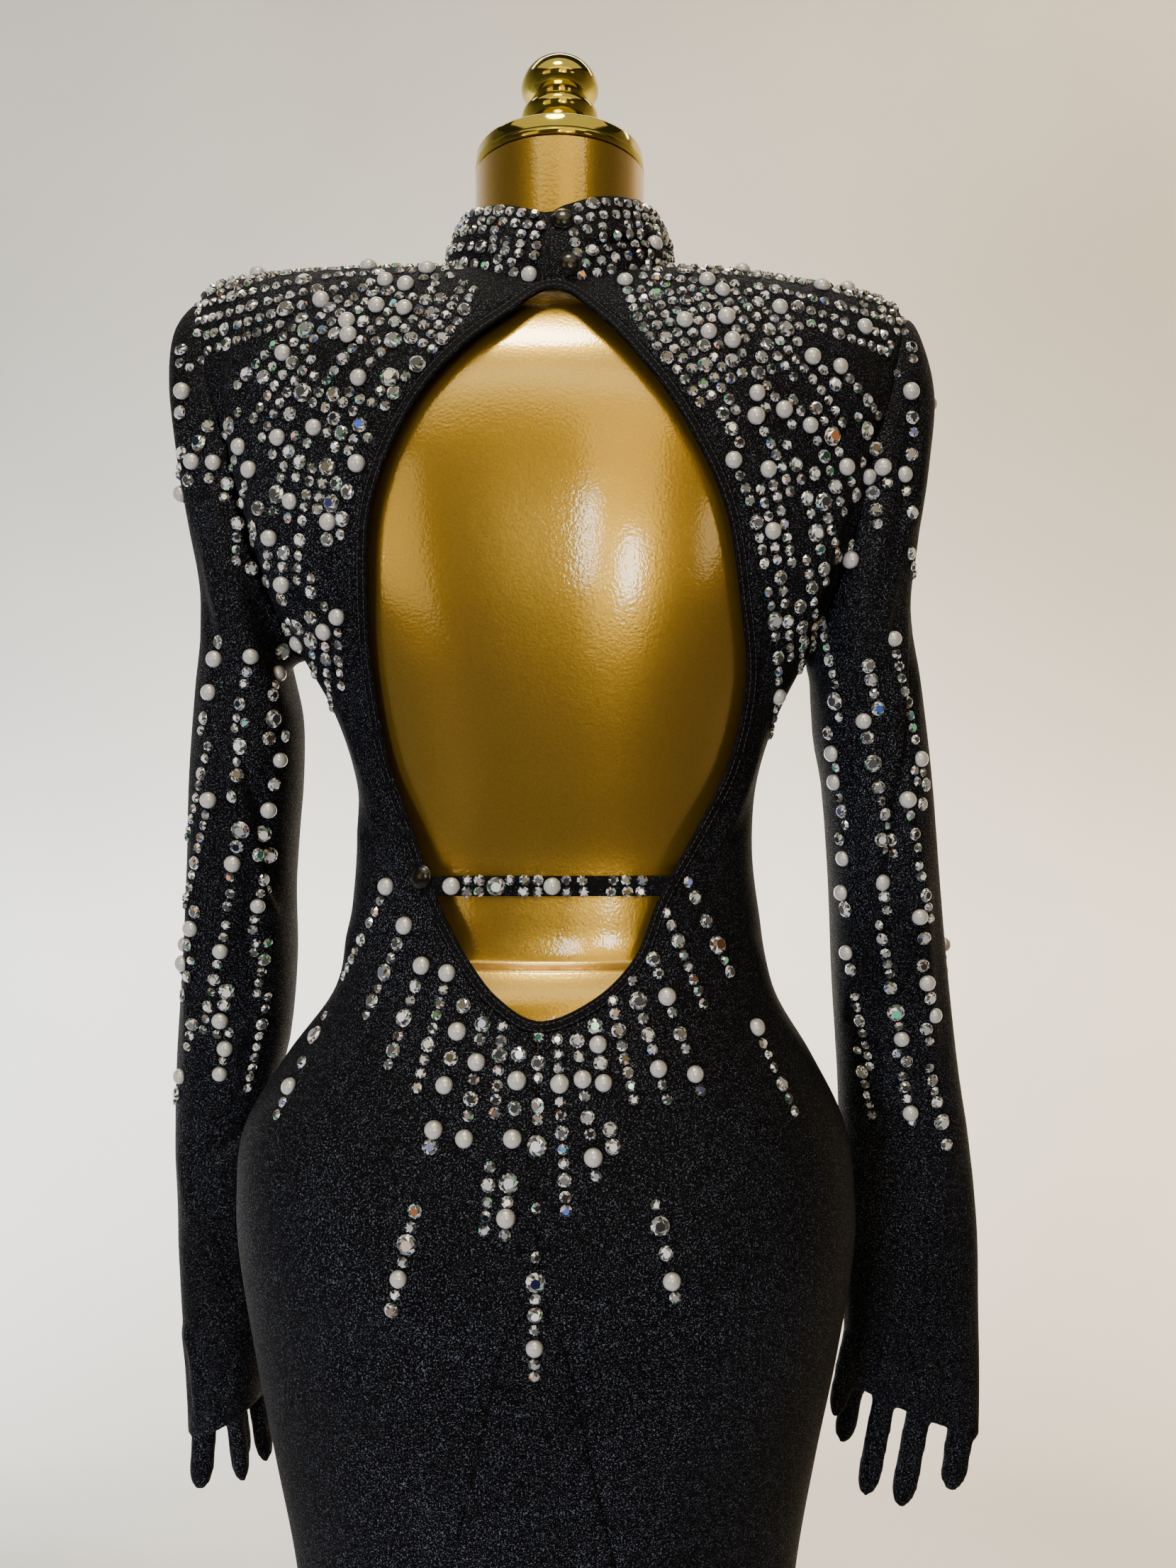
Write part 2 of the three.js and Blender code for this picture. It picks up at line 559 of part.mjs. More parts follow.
function sleeveRings(rows, side) {
  const sign = side === "right" ? 1 : -1;
  const hole = armhole(side, SEAM * 2);
  const seamRing = [];
  const phis = [];
  for (let k = 0; k < SLEEVE_AROUND; k += 1) phis.push((k / SLEEVE_AROUND) * 2 * Math.PI);
  for (const phi of phis) {
    const y = hole.halfY * Math.sin(phi);
    const z = hole.z + hole.halfUp * Math.cos(phi);
    const middle = readColumn(DRESS_LEVELS, "mid", z);
    seamRing.push(new THREE.Vector3(middle + sign * (bodySideX(y, z) - 6), y, z));
  }
  const lifted = seamRing.map((p) => new THREE.Vector3(p.x + sign * 7.5, p.y, p.z));
  return [seamRing, lifted, ...rows.map((row) => phis.map((phi) => sleeveRow(row, sign, phi)))];
}

// Rings moved towards their own middle by the cloth's thickness.
function shrinkRings(rings, by) {
  return rings.map((ring) => {
    const middle = ring.reduce((sum, p) => sum.add(p), new THREE.Vector3()).divideScalar(ring.length);
    return ring.map((p, k) => {
      const before = ring[(k + ring.length - 1) % ring.length];
      const after = ring[(k + 1) % ring.length];
      const along = after.clone().sub(before).normalize();
      const inwards = middle.clone().sub(p);
      inwards.addScaledVector(along, -inwards.dot(along)).normalize();
      return p.clone().addScaledVector(inwards, by);
    });
  });
}

function finger(row, sign, shrink) {
  const root = new THREE.Vector3(sign * row.rootX, row.rootY, row.rootZ);
  const tip = new THREE.Vector3(sign * row.tipX, row.tipY, row.tipZ);
  const down = tip.clone().sub(root).normalize();
  const face = THREE.MathUtils.degToRad(row.faceDeg * sign);
  const wide = new THREE.Vector3(Math.cos(face), Math.sin(face), 0);
  const thick = new THREE.Vector3().crossVectors(down, wide).normalize();
  const length = root.distanceTo(tip);
  const stations = [
    { at: -FINGER_SINK, size: 0.8 }, { at: 0, size: 1 },
    { at: length - 8, size: 0.86 }, { at: length - shrink, size: 0.45 },
  ];
  return loft(stations.map(({ at, size }) => {
    const ring = [];
    for (let k = 0; k < 6; k += 1) {
      const turn = (k / 6) * 2 * Math.PI;
      const p = root.clone().addScaledVector(down, at);
      p.addScaledVector(wide, Math.cos(turn) * (row.half * size - shrink));
      p.addScaledVector(thick, Math.sin(turn) * (FINGER_THICK * size - shrink));
      ring.push(p);
    }
    return ring;
  }));
}

function sleeve(rows, fingers, side) {
  const sign = side === "right" ? 1 : -1;
  const rings = sleeveRings(rows, side);
  const inside = shrinkRings(rings, CLOTH);
  const mouth = inside[0].map((p) => new THREE.Vector3(p.x - sign * 12, p.y, p.z));
  const knuckles = inside.pop().map((p) => new THREE.Vector3(p.x, p.y, p.z + CLOTH));
  let outer = loft(rings);
  let inner = loft([mouth, ...inside, knuckles]);
  for (const row of fingers) {
    outer = outer.add(finger(row, sign, 0));
    inner = inner.add(finger(row, sign, CLOTH));
  }
  const body = loft(BODY_RINGS.map((z) => bodyRing(z, SEAM)));
  return largestBody(outer.subtract(inner).subtract(body));
}

// ---- Strap and snap buttons ----

function strap() {
  const outer = [];
  const inner = [];
  const steps = 20;
  for (let i = 0; i <= steps; i += 1) {
    const x = -STRAP.halfX + (2 * STRAP.halfX * i) / steps;
    const y = STRAP.endY - STRAP.sag * (1 - (x / STRAP.halfX) ** 2);
    const low = STRAP.z - STRAP.height / 2;
    const high = STRAP.z + STRAP.height / 2;
    outer.push([new THREE.Vector3(x, y, low), new THREE.Vector3(x, y, high)]);
    inner.push([new THREE.Vector3(x, y + STRAP.thick, low), new THREE.Vector3(x, y + STRAP.thick, high)]);
  }
  return slab(outer, inner).intersect(prismAlongY(cutoutOutline(-SEAM), -200, 0));
}

// A domed button with its dome towards +Z and its foot at the origin: its flat back, or its post.
function snapGeometry(postLength) {
  const profile = [{ r: 0, z: 0 }];
  if (postLength > 0) profile.push({ r: BUTTON.post, z: 0 }, { r: BUTTON.post, z: postLength });
  profile.push({ r: BUTTON.radius, z: postLength }, { r: BUTTON.radius, z: postLength + BUTTON.rim });
  for (const lift of [0.35, 0.7, 0.9]) {
    const r = BUTTON.radius * Math.sqrt(1 - lift * lift);
    profile.push({ r, z: postLength + BUTTON.rim + (BUTTON.rise - BUTTON.rim) * lift });
  }
  profile.push({ r: 0, z: postLength + BUTTON.rise });
  const geometry = lathe(profile, 20);
  geometry.rotateX(Math.PI / 2);
  return geometry;
}

// ---- Form, cap, finial and stand ----

const FORM_RINGS = [
  FORM_FOOT_Z, 810, 880, 940, 985, 1025, 1049, 1053, 1070, 1120, 1170, 1215, 1260, 1310, 1355,
  1395, 1412, 1424, 1434, 1442,
];

function formBody() {
  const rings = FORM_RINGS.map((z) => {
    const ring = [];
    for (let k = 0; k < AROUND; k += 1) ring.push(formSurface((k / AROUND) * 2 * Math.PI, z));
    return ring;
  });
  const neck = turned([
    { r: 0, z: NECK.lowZ }, { r: NECK.radius, z: NECK.lowZ },
    { r: NECK.radius, z: NECK.topZ }, { r: 0, z: NECK.topZ },
  ], 40).translate(NECK.x, 0, 0);
  return loft(rings).add(toManifold(neck));
}

function capProfile() {
  return [
    { r: 0, z: CAP.bottomZ }, { r: CAP.radius - CAP.edge, z: CAP.bottomZ },
    { r: CAP.radius, z: CAP.bottomZ + CAP.edge }, { r: CAP.topRadius, z: CAP.topZ - CAP.edge },
    { r: CAP.topRadius - CAP.edge, z: CAP.topZ }, { r: 0, z: CAP.topZ },
  ];
}

function finialProfile() {
  const dome = [];
  for (let i = 0; i <= FINIAL_DOME.steps; i += 1) {
    const rise = (i / FINIAL_DOME.steps) * (Math.PI / 2);
    const r = i === FINIAL_DOME.steps ? 0 : FINIAL_DOME.radius * Math.cos(rise);
    dome.push({ r, z: FINIAL_DOME.z + FINIAL_DOME.rise * Math.sin(rise) });
  }
  return [...FINIAL_PROFILE, ...dome];
}

function flangeProfile() {
  const plateZ = FLANGE.topZ - FLANGE.plate;
  const bottomZ = FLANGE.topZ - FLANGE.height;
  return [
    { r: 0, z: bottomZ }, { r: FLANGE.boss, z: bottomZ }, { r: FLANGE.boss, z: plateZ },
    { r: FLANGE.radius, z: plateZ }, { r: FLANGE.radius, z: FLANGE.topZ }, { r: 0, z: FLANGE.topZ },
  ];
}

function poleProfile() {
  const bottomZ = BASE.hubTop + SEAM;
  const topZ = FLANGE.topZ - FLANGE.height - SEAM;
  return [
    { r: 0, z: bottomZ }, { r: POLE_RADIUS, z: bottomZ }, { r: POLE_RADIUS, z: topZ }, { r: 0, z: topZ },
  ];
}

function baseProfile() {
  return [
    { r: 0, z: 0 }, { r: BASE.radius, z: 0 }, { r: BASE.radius, z: BASE.thick - BASE.edge },
    { r: BASE.radius - BASE.edge, z: BASE.thick }, { r: BASE.hubRadius + 6, z: BASE.thick },
    { r: BASE.hubRadius, z: BASE.thick + 6 }, { r: BASE.hubRadius - 6, z: BASE.hubTop },
    { r: 0, z: BASE.hubTop },
  ];
}

// A turned piece: its profile is spun round the Z axis.
function turned(profile, segments) {
  const geometry = lathe(profile, segments);
  geometry.rotateX(Math.PI / 2);
  return geometry;
}

// ---- Assembly ----

const finish = {
  cloth: new THREE.MeshStandardMaterial({ color: COLOURS.cloth, roughness: 0.75, metalness: 0 }),
  binding: new THREE.MeshStandardMaterial({ color: COLOURS.binding, roughness: 0.8, metalness: 0 }),
  snap: new THREE.MeshStandardMaterial({ color: COLOURS.snap, roughness: 0.12, metalness: 0 }),
  paint: new THREE.MeshStandardMaterial({ color: COLOURS.paint, roughness: 0.35, metalness: 0.8 }),
  plated: new THREE.MeshStandardMaterial({ color: COLOURS.plated, roughness: 0.08, metalness: 1 }),
};

function addMesh(group, name, geometry, material) {
  const mesh = new THREE.Mesh(geometry, material);
  mesh.name = name;
  group.add(mesh);
  return mesh;
}

const dress = new THREE.Group();
for (const [name, solid] of Object.entries(dressPanels())) {
  addMesh(dress, name, toGeometry(solid), finish.cloth);
}
addMesh(dress, "collar", toGeometry(collar()), finish.cloth);
addMesh(dress, "sleeve_left", toGeometry(sleeve(SLEEVE_LEFT, FINGERS_LEFT, "left")), finish.cloth);
addMesh(dress, "sleeve_right", toGeometry(sleeve(SLEEVE_RIGHT, FINGERS_RIGHT, "right")), finish.cloth);
addMesh(dress, "cutout_binding", toGeometry(cutoutBinding()), finish.binding);
addMesh(dress, "back_strap", toGeometry(strap()), finish.binding);

// A snap button seated on a point of the cloth, facing away from it.
function addSnap(name, { seat, away }, postLength = 0) {
  const snap = addMesh(dress, name, snapGeometry(postLength), finish.snap);
  snap.position.copy(seat).addScaledVector(away, SEAM);
  snap.quaternion.setFromUnitVectors(new THREE.Vector3(0, 0, 1), away);
}

function collarSeat(deg, f) {
  const seat = collarPoint(deg, f, 0);
  const round = collarPoint(deg + 1, f, 0).sub(collarPoint(deg - 1, f, 0));
  const up = collarPoint(deg, f + 0.05, 0).sub(collarPoint(deg, f - 0.05, 0));
  return { seat, away: round.cross(up).normalize() };
}

// A seat on the opening's binding.
function bindingSeat(angleDeg, z, clear) {
  const angle = THREE.MathUtils.degToRad(angleDeg);
  const seat = dressPoint(angle, z, BINDING.proud + clear);
  return { seat, away: dressPoint(angle, z, BINDING.proud + clear + 1).sub(seat).normalize() };
}

addSnap("collar_snap_upper", collarSeat(3, 0.79));
addSnap("collar_snap_lower", collarSeat(6, 0.22));
addSnap("strap_snap", bindingSeat(STRAP_SNAP.angleDeg, STRAP_SNAP.z, STRAP_SNAP.clear), STRAP_SNAP.postLength);

const form = new THREE.Group();
addMesh(form, "form_body", toGeometry(formBody()), finish.paint);
addMesh(form, "neck_cap", turned(capProfile(), 40), finish.plated).position.x = NECK.x;
addMesh(form, "finial", turned(finialProfile(), 24), finish.plated).position.x = NECK.x;
addMesh(form, "form_flange", turned(flangeProfile(), 28), finish.plated);
addMesh(form, "stand_pole", turned(poleProfile(), 20), finish.plated);
addMesh(form, "stand_base", turned(baseProfile(), 48), finish.plated);

const object = new THREE.Group();
object.add(dress, form);
export default object;
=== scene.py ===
"""A black bodycon maxi dress with gloved sleeves, sewn stones and pearls, on a gold dress form.

The sizes in the tables are millimetres in the frame's own axes: +Z is up, the open back faces -Y
and +X is the right-hand side of the back view. Meshes are made in metres.
"""

import json
import math
import random

import bmesh
import bpy
import numpy as np
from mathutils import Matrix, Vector
from mathutils.bvhtree import BVHTree

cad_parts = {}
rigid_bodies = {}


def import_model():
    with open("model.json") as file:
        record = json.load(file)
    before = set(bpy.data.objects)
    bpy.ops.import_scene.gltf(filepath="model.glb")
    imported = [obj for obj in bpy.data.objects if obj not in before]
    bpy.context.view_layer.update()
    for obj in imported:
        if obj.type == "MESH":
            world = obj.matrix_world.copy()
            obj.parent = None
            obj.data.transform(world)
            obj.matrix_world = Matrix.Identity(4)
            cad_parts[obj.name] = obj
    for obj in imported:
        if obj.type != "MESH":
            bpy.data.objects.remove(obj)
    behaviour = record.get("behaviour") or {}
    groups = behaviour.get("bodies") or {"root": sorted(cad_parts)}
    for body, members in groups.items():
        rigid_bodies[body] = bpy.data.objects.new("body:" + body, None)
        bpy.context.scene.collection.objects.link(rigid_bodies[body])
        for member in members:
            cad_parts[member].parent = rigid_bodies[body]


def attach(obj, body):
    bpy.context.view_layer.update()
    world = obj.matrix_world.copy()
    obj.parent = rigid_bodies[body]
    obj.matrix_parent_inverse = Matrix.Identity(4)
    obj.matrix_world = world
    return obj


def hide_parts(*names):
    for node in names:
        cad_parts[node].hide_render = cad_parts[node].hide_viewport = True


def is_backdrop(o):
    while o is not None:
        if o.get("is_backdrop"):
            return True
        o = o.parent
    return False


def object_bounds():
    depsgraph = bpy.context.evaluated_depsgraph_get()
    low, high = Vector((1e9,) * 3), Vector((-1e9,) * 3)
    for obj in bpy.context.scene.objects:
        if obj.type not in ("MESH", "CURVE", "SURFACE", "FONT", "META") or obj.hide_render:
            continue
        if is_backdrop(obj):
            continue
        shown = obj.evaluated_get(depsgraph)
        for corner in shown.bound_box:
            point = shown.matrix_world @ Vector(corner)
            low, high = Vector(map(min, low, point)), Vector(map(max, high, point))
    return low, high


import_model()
CAD_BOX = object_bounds()

bl_info = {
    "name": "Bodycon maxi dress on a form",
    "version": (1, 0, 0),
    "blender": (4, 5, 0),
    "location": "View3D > Sidebar > Dress",
    "description": "Makes the dress, its stones and its gold form round the packed frame",
    "category": "Add Mesh",
}

MM = 0.001
RNG_SEED = 7

# ---- Sizes shared with the frame's solids, in millimetres ----

HEM_Z = 60
RIDGE_Z = 1454
CLOSE = 9                 # how far the section folds in above the shoulders' top line
BACK_SEAM_X = -4
SQUARENESS = 2.4
PAD_DROP_RIGHT = 9
NECK_X, NECK_RADIUS, NECK_FOOT_Z, NECK_TOP_Z = 5, 51, 1392, 1515


def rows(names, *values):
    """A short table: the columns' names in one string, and one tuple for each row."""
    keys = names.split()
    return [dict(zip(keys, row)) for row in values]


DRESS_LEVELS = rows(
    "z half back front mid",
    (60, 232, 212, 150, -2.5), (110, 218, 198, 141, -2.5), (180, 196, 175, 127, -2.5),
    (260, 172, 148, 114, -2.5), (350, 151, 121, 103, -2.5), (450, 139, 103, 96, -2.5),
    (550, 138, 95, 93, -2.5), (640, 143, 92, 93, -2.2), (700, 149, 92, 94, -2.2),
    (760, 160, 98, 96, -2.6), (820, 171.5, 107, 97, -2), (880, 181, 113, 98, -2),
    (910, 182, 114, 98, -2.5), (950, 177.5, 110, 97, -3.2), (990, 156, 104, 94, -1),
    (1030, 130, 95, 90, 1.8), (1070, 122, 87, 86, 2.6), (1110, 117.8, 81, 83, 2.2),
    (1150, 119.5, 80, 84, 3.2), (1190, 131.5, 84, 92, 3.4), (1225, 150.5, 88, 98, 2.6),
    (1260, 174, 92, 102, 1.6), (1300, 192, 94, 102, 0.6), (1340, 203, 92, 94, 0),
    (1380, 211, 87, 79, 0), (1410, 214, 75, 59, 0), (1428, 213, 63, 50, 0),
    (1442, 208, 47, 38, 0), (1450, 198, 28, 24, 0), (RIDGE_Z, 183, 9, 9, 0),
)
FORM_LEVELS = rows(
    "z half back front",
    (765, 156, 90, 89), (820, 167, 101, 92), (880, 176, 108, 93), (910, 176.5, 109, 93),
    (950, 171.5, 105, 92), (990, 150.5, 98, 89), (1025, 127, 92, 85), (1049, 120.5, 80, 82.5),
    (1053, 118.5, 71.5, 82), (1080, 115, 67.6, 79.5), (1110, 112.8, 67, 78), (1150, 114.5, 72.4, 79),
    (1190, 126, 78.2, 87), (1225, 141, 82.6, 92), (1260, 155, 85.8, 95), (1300, 165, 87, 95),
    (1340, 171, 84.5, 86), (1380, 170, 78, 71), (1405, 148, 68, 54), (1420, 122, 58, 47),
    (1432, 96, 48, 38), (1442, 66, 34, 26),
)
BUST = {"x": 88, "z": 1283, "wide": 46, "tall": 52, "dress": 18, "form": 18}
SEAT = {"x": 84, "z": 880, "wide": 58, "tall": 72, "dress": 4, "form": 6}
SPINE = {"x": -16, "left": 52, "right": 40, "low": 1045, "high": 1395, "form": 1.5}
FLUTES = {"count": 7, "top_z": 500, "front": 4, "back": 17, "phase": 0.9}

CUTOUT_APEX = (3.5, 1421.5)
CUTOUT_FOOT = (-4, 1025.5)
CUTOUT_SIDES = rows(
    "z left right",
    (1402, -23, 28.5), (1381, -47, 46.5), (1350, -72, 69.5), (1300, -93, 94.5),
    (1250, -97, 104.5), (1205, -95.5, 109.5), (1160, -88, 100.5), (1125, -74.5, 82),
    (1088, -60, 60.5), (1058, -43, 47.5), (1037, -25.5, 26),
)
BINDING_WIDTH = 6
GODET_EDGE = rows(
    "z left right",
    (885, -5, -3), (871, -17, 6.5), (855, -23, 12), (830, -28.5, 17.5), (780, -40, 27.5),
    (738, -50, 37), (600, -83, 69), (450, -112, 98), (300, -143, 129), (160, -171, 157),
    (30, -197, 183),
)

NECKLINE = {"half_x": 68.3, "half_y": 64.3}
COLLAR = {"half_x": 56.5, "half_y": 56, "from": 17, "sweep": 381, "lap": 21, "tuck": 2.3}
COLLAR_RIM = rows(
    "deg z",
    (-180, 1452), (-130, 1470), (-90, 1488), (-68, 1486), (-36, 1478), (-5, 1471.5),
    (25, 1480.5), (51, 1486), (90, 1491), (135, 1471), (180, 1452),
)
COLLAR_RISE = rows("f pull", (0, 0), (0.3, 0.07), (0.65, 0.42), (1, 1))

STRAP = {"z": 1095, "height": 11, "thick": 1.6, "end_y": -75, "sag": 2.5, "half_x": 75}
ARMHOLE = {"z": 1332, "half_y": 47, "half_up": 108, "drop": {"left": 0, "right": 10}}

SLEEVES = {
    "left": rows(
        "out_x out_z in_x in_z mid_y deep",
        (223, 1424, 159, 1219, 0, 47), (226.5, 1396, 158, 1210, 0, 48),
        (221.5, 1352, 155, 1199, 0, 47), (214.5, 1308, 152.5, 1188, 1, 46),
        (208.5, 1260, 152, 1174, 3, 43), (214, 1208, 153, 1149, 6, 41),
        (219, 1160, 156, 1122, 10, 40), (223, 1101, 159.5, 1086, 16, 39),
        (229.5, 1045, 161.5, 1040, 27, 38), (236, 995, 168, 992, 37, 37),
        (240.5, 945, 180, 945, 47, 37), (241.5, 890, 183, 890, 52, 37),
        (239, 830, 183, 832, 52, 36), (235, 768, 184, 780, 52, 35), (234.5, 735, 187, 757, 52, 32),
    ),
    "right": rows(
        "out_x out_z in_x in_z mid_y deep",
        (220, 1418, 155, 1220, 0, 47), (228, 1386, 157, 1212, 0, 48),
        (225, 1344, 157.5, 1202, 0, 47), (218.5, 1300, 158.5, 1190, 1, 46),
        (214.5, 1262, 160, 1175, 3, 43), (222.5, 1210, 165, 1150, 6, 41),
        (229.7, 1160, 168, 1124, 10, 40), (236.8, 1095, 171.5, 1084, 16, 39),
        (246, 1030, 175.5, 1028, 27, 36), (256, 970, 181, 970, 38, 33.5),
        (266, 920, 184, 920, 46, 30), (271.5, 865, 184.5, 865, 47, 27),
        (272.5, 815, 186, 815, 46, 22), (273.5, 768, 188, 785, 46, 16), (273.5, 730, 193, 764, 46, 11),
    ),
}
# Glove fingers: root and tip of the middle line, half width, and the way the finger faces.
FINGERS = {
    "left": rows(
        "root tip half face",
        ((225.5, 50, 741), (227, 44, 696.5), 8.6, 15), ((204, 40, 755), (196, 32, 709), 7.4, 60),
        ((195, 56, 760), (187, 54, 709), 7.2, 75), ((211, 66, 749), (206, 70, 702), 7.4, 40),
        ((199, 74, 760), (192, 84, 724), 7.2, 80),
    ),
    "right": rows(
        "root tip half face",
        ((262, 46, 738), (254.5, 42, 697), 9, 0), ((235, 46, 747), (222, 42, 687), 8.6, 0),
        ((213, 46, 757), (200, 44, 693), 8, 0), ((196, 50, 775), (188.5, 58, 719.5), 7.6, 10),
        ((191, 44, 794), (179.5, 39, 746), 6.8, 8),
    ),
}
FINGER_THICK = 5.5
FINGER_SINK = 14


# ---- Curves and sections ----


def read_column(table, key, at, by="z"):
    """A column of a table at any height, along a smooth curve through its rows."""
    table = sorted(table, key=lambda row: row[by])
    x = np.array([row[by] for row in table], float)
    y = np.array([row[key] for row in table], float)
    slope = np.empty_like(y)
    slope[1:-1] = (y[2:] - y[:-2]) / (x[2:] - x[:-2])
    slope[0] = (y[1] - y[0]) / (x[1] - x[0])
    slope[-1] = (y[-1] - y[-2]) / (x[-1] - x[-2])
    at = np.clip(at, x[0], x[-1])
    i = np.clip(np.searchsorted(x, at, side="right") - 1, 0, len(x) - 2)
    gap = x[i + 1] - x[i]
    t = (at - x[i]) / gap
    start = (2 * t**3 - 3 * t**2 + 1) * y[i] + (t**3 - 2 * t**2 + t) * gap * slope[i]
    return start + (3 * t**2 - 2 * t**3) * y[i + 1] + (t**3 - t**2) * gap * slope[i + 1]


def smooth_step(low, high, value):
    t = np.clip((value - low) / (high - low), 0, 1)
    return t * t * (3 - 2 * t)


def bell(value, width):
    return np.exp(-((value / width) ** 2))


def powered(value, power):
    return np.sign(value) * np.abs(value) ** power


def body_points(levels, angle, z, mounds):
    """Points of a body's sections. Angle 0 is +X and a quarter turn is the chest."""
    side = powered(np.cos(angle), 2 / SQUARENESS)
    fore = powered(np.sin(angle), 2 / SQUARENESS)
    x = read_column(levels, "half", z) * side
    depth = np.where(fore > 0, read_column(levels, "front", z), read_column(levels, "back", z))
    bust = bell(np.abs(x) - BUST["x"], BUST["wide"]) * bell(z - BUST["z"], BUST["tall"]) * BUST[mounds]
    seat = bell(np.abs(x) - SEAT["x"], SEAT["wide"]) * bell(z - SEAT["z"], SEAT["tall"]) * SEAT[mounds]
    mound = np.where(fore > 0, bust, seat)
    middle = read_column(DRESS_LEVELS, "mid", z)
    return np.stack([middle + x, (depth + mound) * fore, z + 0 * x], axis=-1)


def dress_points(angle, height):
    """The dress surface. Above the shoulders' top line the section folds in to meet itself."""
    z = np.minimum(height, RIDGE_Z)
    fold = np.clip((height - RIDGE_Z) / CLOSE, 0, 1)
    p = body_points(DRESS_LEVELS, angle, z, "dress")
    grow = 1 - smooth_step(HEM_Z, FLUTES["top_z"], z)
    behind = 0.5 - 0.5 * np.sin(angle)
    reach = FLUTES["front"] + (FLUTES["back"] - FLUTES["front"]) * behind
    flute = grow * grow * reach * np.cos(FLUTES["count"] * angle + FLUTES["phase"])
    p[..., 0] += flute * np.cos(angle)
    p[..., 1] = (p[..., 1] + flute * np.sin(angle)) * (1 - fold)
    p[..., 2] += 1.6 * np.sin(fold * math.pi / 2)
    tip = smooth_step(75, 205, np.abs(p[..., 0])) * smooth_step(1280, 1435, z)
    p[..., 2] -= tip * np.where(p[..., 0] > 0, PAD_DROP_RIGHT, 0)
    return p


def form_points(angle, z):
    p = body_points(FORM_LEVELS, angle, z, "form")
    low, high = SPINE["low"], SPINE["high"]
    along = smooth_step(low, low + 70, z) * (1 - smooth_step(high - 90, high, z))
    off = p[..., 0] - SPINE["x"]
    hollow = SPINE["form"] * along * bell(off, np.where(off < 0, SPINE["left"], SPINE["right"]))
    p[..., 1] += np.where(p[..., 1] < 0, hollow, 0)
    return p


def spline(points, count, closed=False):
    """Points evenly spaced along a smooth curve through a few given ones."""
    given = np.array(points, float)
    n = len(given)
    fine = []
    for i in range(n if closed else n - 1):
        if closed:
            a, b, c, d = (given[(i + k) % n] for k in (-1, 0, 1, 2))
        else:
            a, b, c, d = (given[min(max(i + k, 0), n - 1)] for k in (-1, 0, 1, 2))
            a = 2 * b - c if i == 0 else a
            d = 2 * c - b if i == n - 2 else d
        gaps = [max(np.linalg.norm(q - p), 1e-6) ** 0.5 for p, q in ((a, b), (b, c), (c, d))]
        t0, t1, t2, t3 = 0, gaps[0], gaps[0] + gaps[1], sum(gaps)
        for t in np.linspace(t1, t2, 24, endpoint=False):
            ab = (t1 - t) / (t1 - t0) * a + (t - t0) / (t1 - t0) * b
            bc = (t2 - t) / (t2 - t1) * b + (t - t1) / (t2 - t1) * c
            cd = (t3 - t) / (t3 - t2) * c + (t - t2) / (t3 - t2) * d
            abc = (t2 - t) / (t2 - t0) * ab + (t - t0) / (t2 - t0) * bc
            bcd = (t3 - t) / (t3 - t1) * bc + (t - t1) / (t3 - t1) * cd
            fine.append((t2 - t) / (t2 - t1) * abc + (t - t1) / (t2 - t1) * bcd)
    fine.append(given[0] if closed else given[-1])
    return resample(np.array(fine), count, closed)


def resample(path, count, closed=False):
    along = np.concatenate([[0], np.cumsum(np.linalg.norm(np.diff(path, axis=0), axis=1))])
    at = np.linspace(0, along[-1], count + 1 if closed else count)
    if closed:
        at = at[:-1]
    return np.stack([np.interp(at, along, path[:, k]) for k in range(path.shape[1])], axis=1)


def cutout_outline(margin, count=240):
    """The opening's edge seen square on from behind, moved outwards by a margin."""
    down = [(row["left"], row["z"]) for row in CUTOUT_SIDES]
    up = [(row["right"], row["z"]) for row in reversed(CUTOUT_SIDES)]
    points = spline([CUTOUT_APEX, *down, CUTOUT_FOOT, *up], count, closed=True)
    along = np.roll(points, -1, axis=0) - np.roll(points, 1, axis=0)
    outwards = np.stack([along[:, 1], -along[:, 0]], axis=1)
    outwards /= np.linalg.norm(outwards, axis=1, keepdims=True)
    return points + outwards * margin


def godet_outline():
    left = [(row["left"], row["z"]) for row in GODET_EDGE]
    right = [(row["right"], row["z"]) for row in reversed(GODET_EDGE)]
    return np.array([*left, *right], float)


def outline_distance(x, z, outline):
    """Distance from points to a closed outline, negative inside it."""
    a = outline
    b = np.roll(outline, -1, axis=0)
    p = np.stack([x, z], axis=1)
    best = np.full(len(p), 1e9)
    crossings = np.zeros(len(p), int)
    for start, end in zip(a, b):
        side = end - start
        t = np.clip(((p - start) @ side) / (side @ side), 0, 1)
        best = np.minimum(best, np.linalg.norm(p - start - t[:, None] * side, axis=1))
        if start[1] != end[1]:
            spans = (start[1] > p[:, 1]) != (end[1] > p[:, 1])
            reach = start[0] + (p[:, 1] - start[1]) * side[0] / side[1]
            crossings += spans & (p[:, 0] < reach)
    return np.where(crossings % 2 == 1, -best, best)


# ---- Meshes ----


def new_object(name, points, faces, smooth=True):
    """A mesh object from points in millimetres."""
    mesh = bpy.data.meshes.new(name)
    mesh.from_pydata([tuple(p) for p in np.asarray(points) * MM], [], [tuple(f) for f in faces])
    mesh.update()
    if smooth:
        mesh.shade_smooth()
    made = bpy.data.objects.new(name, mesh)
    bpy.context.scene.collection.objects.link(made)
    return made


def read_points(piece):
    flat = np.empty(len(piece.data.vertices) * 3)
    piece.data.vertices.foreach_get("co", flat)
    return flat.reshape(-1, 3) / MM


def read_normals(piece):
    flat = np.empty(len(piece.data.vertices) * 3)
    piece.data.vertex_normals.foreach_get("vector", flat)
    return flat.reshape(-1, 3)


def write_points(piece, points):
    piece.data.vertices.foreach_set("co", (points * MM).ravel())
    piece.data.update()


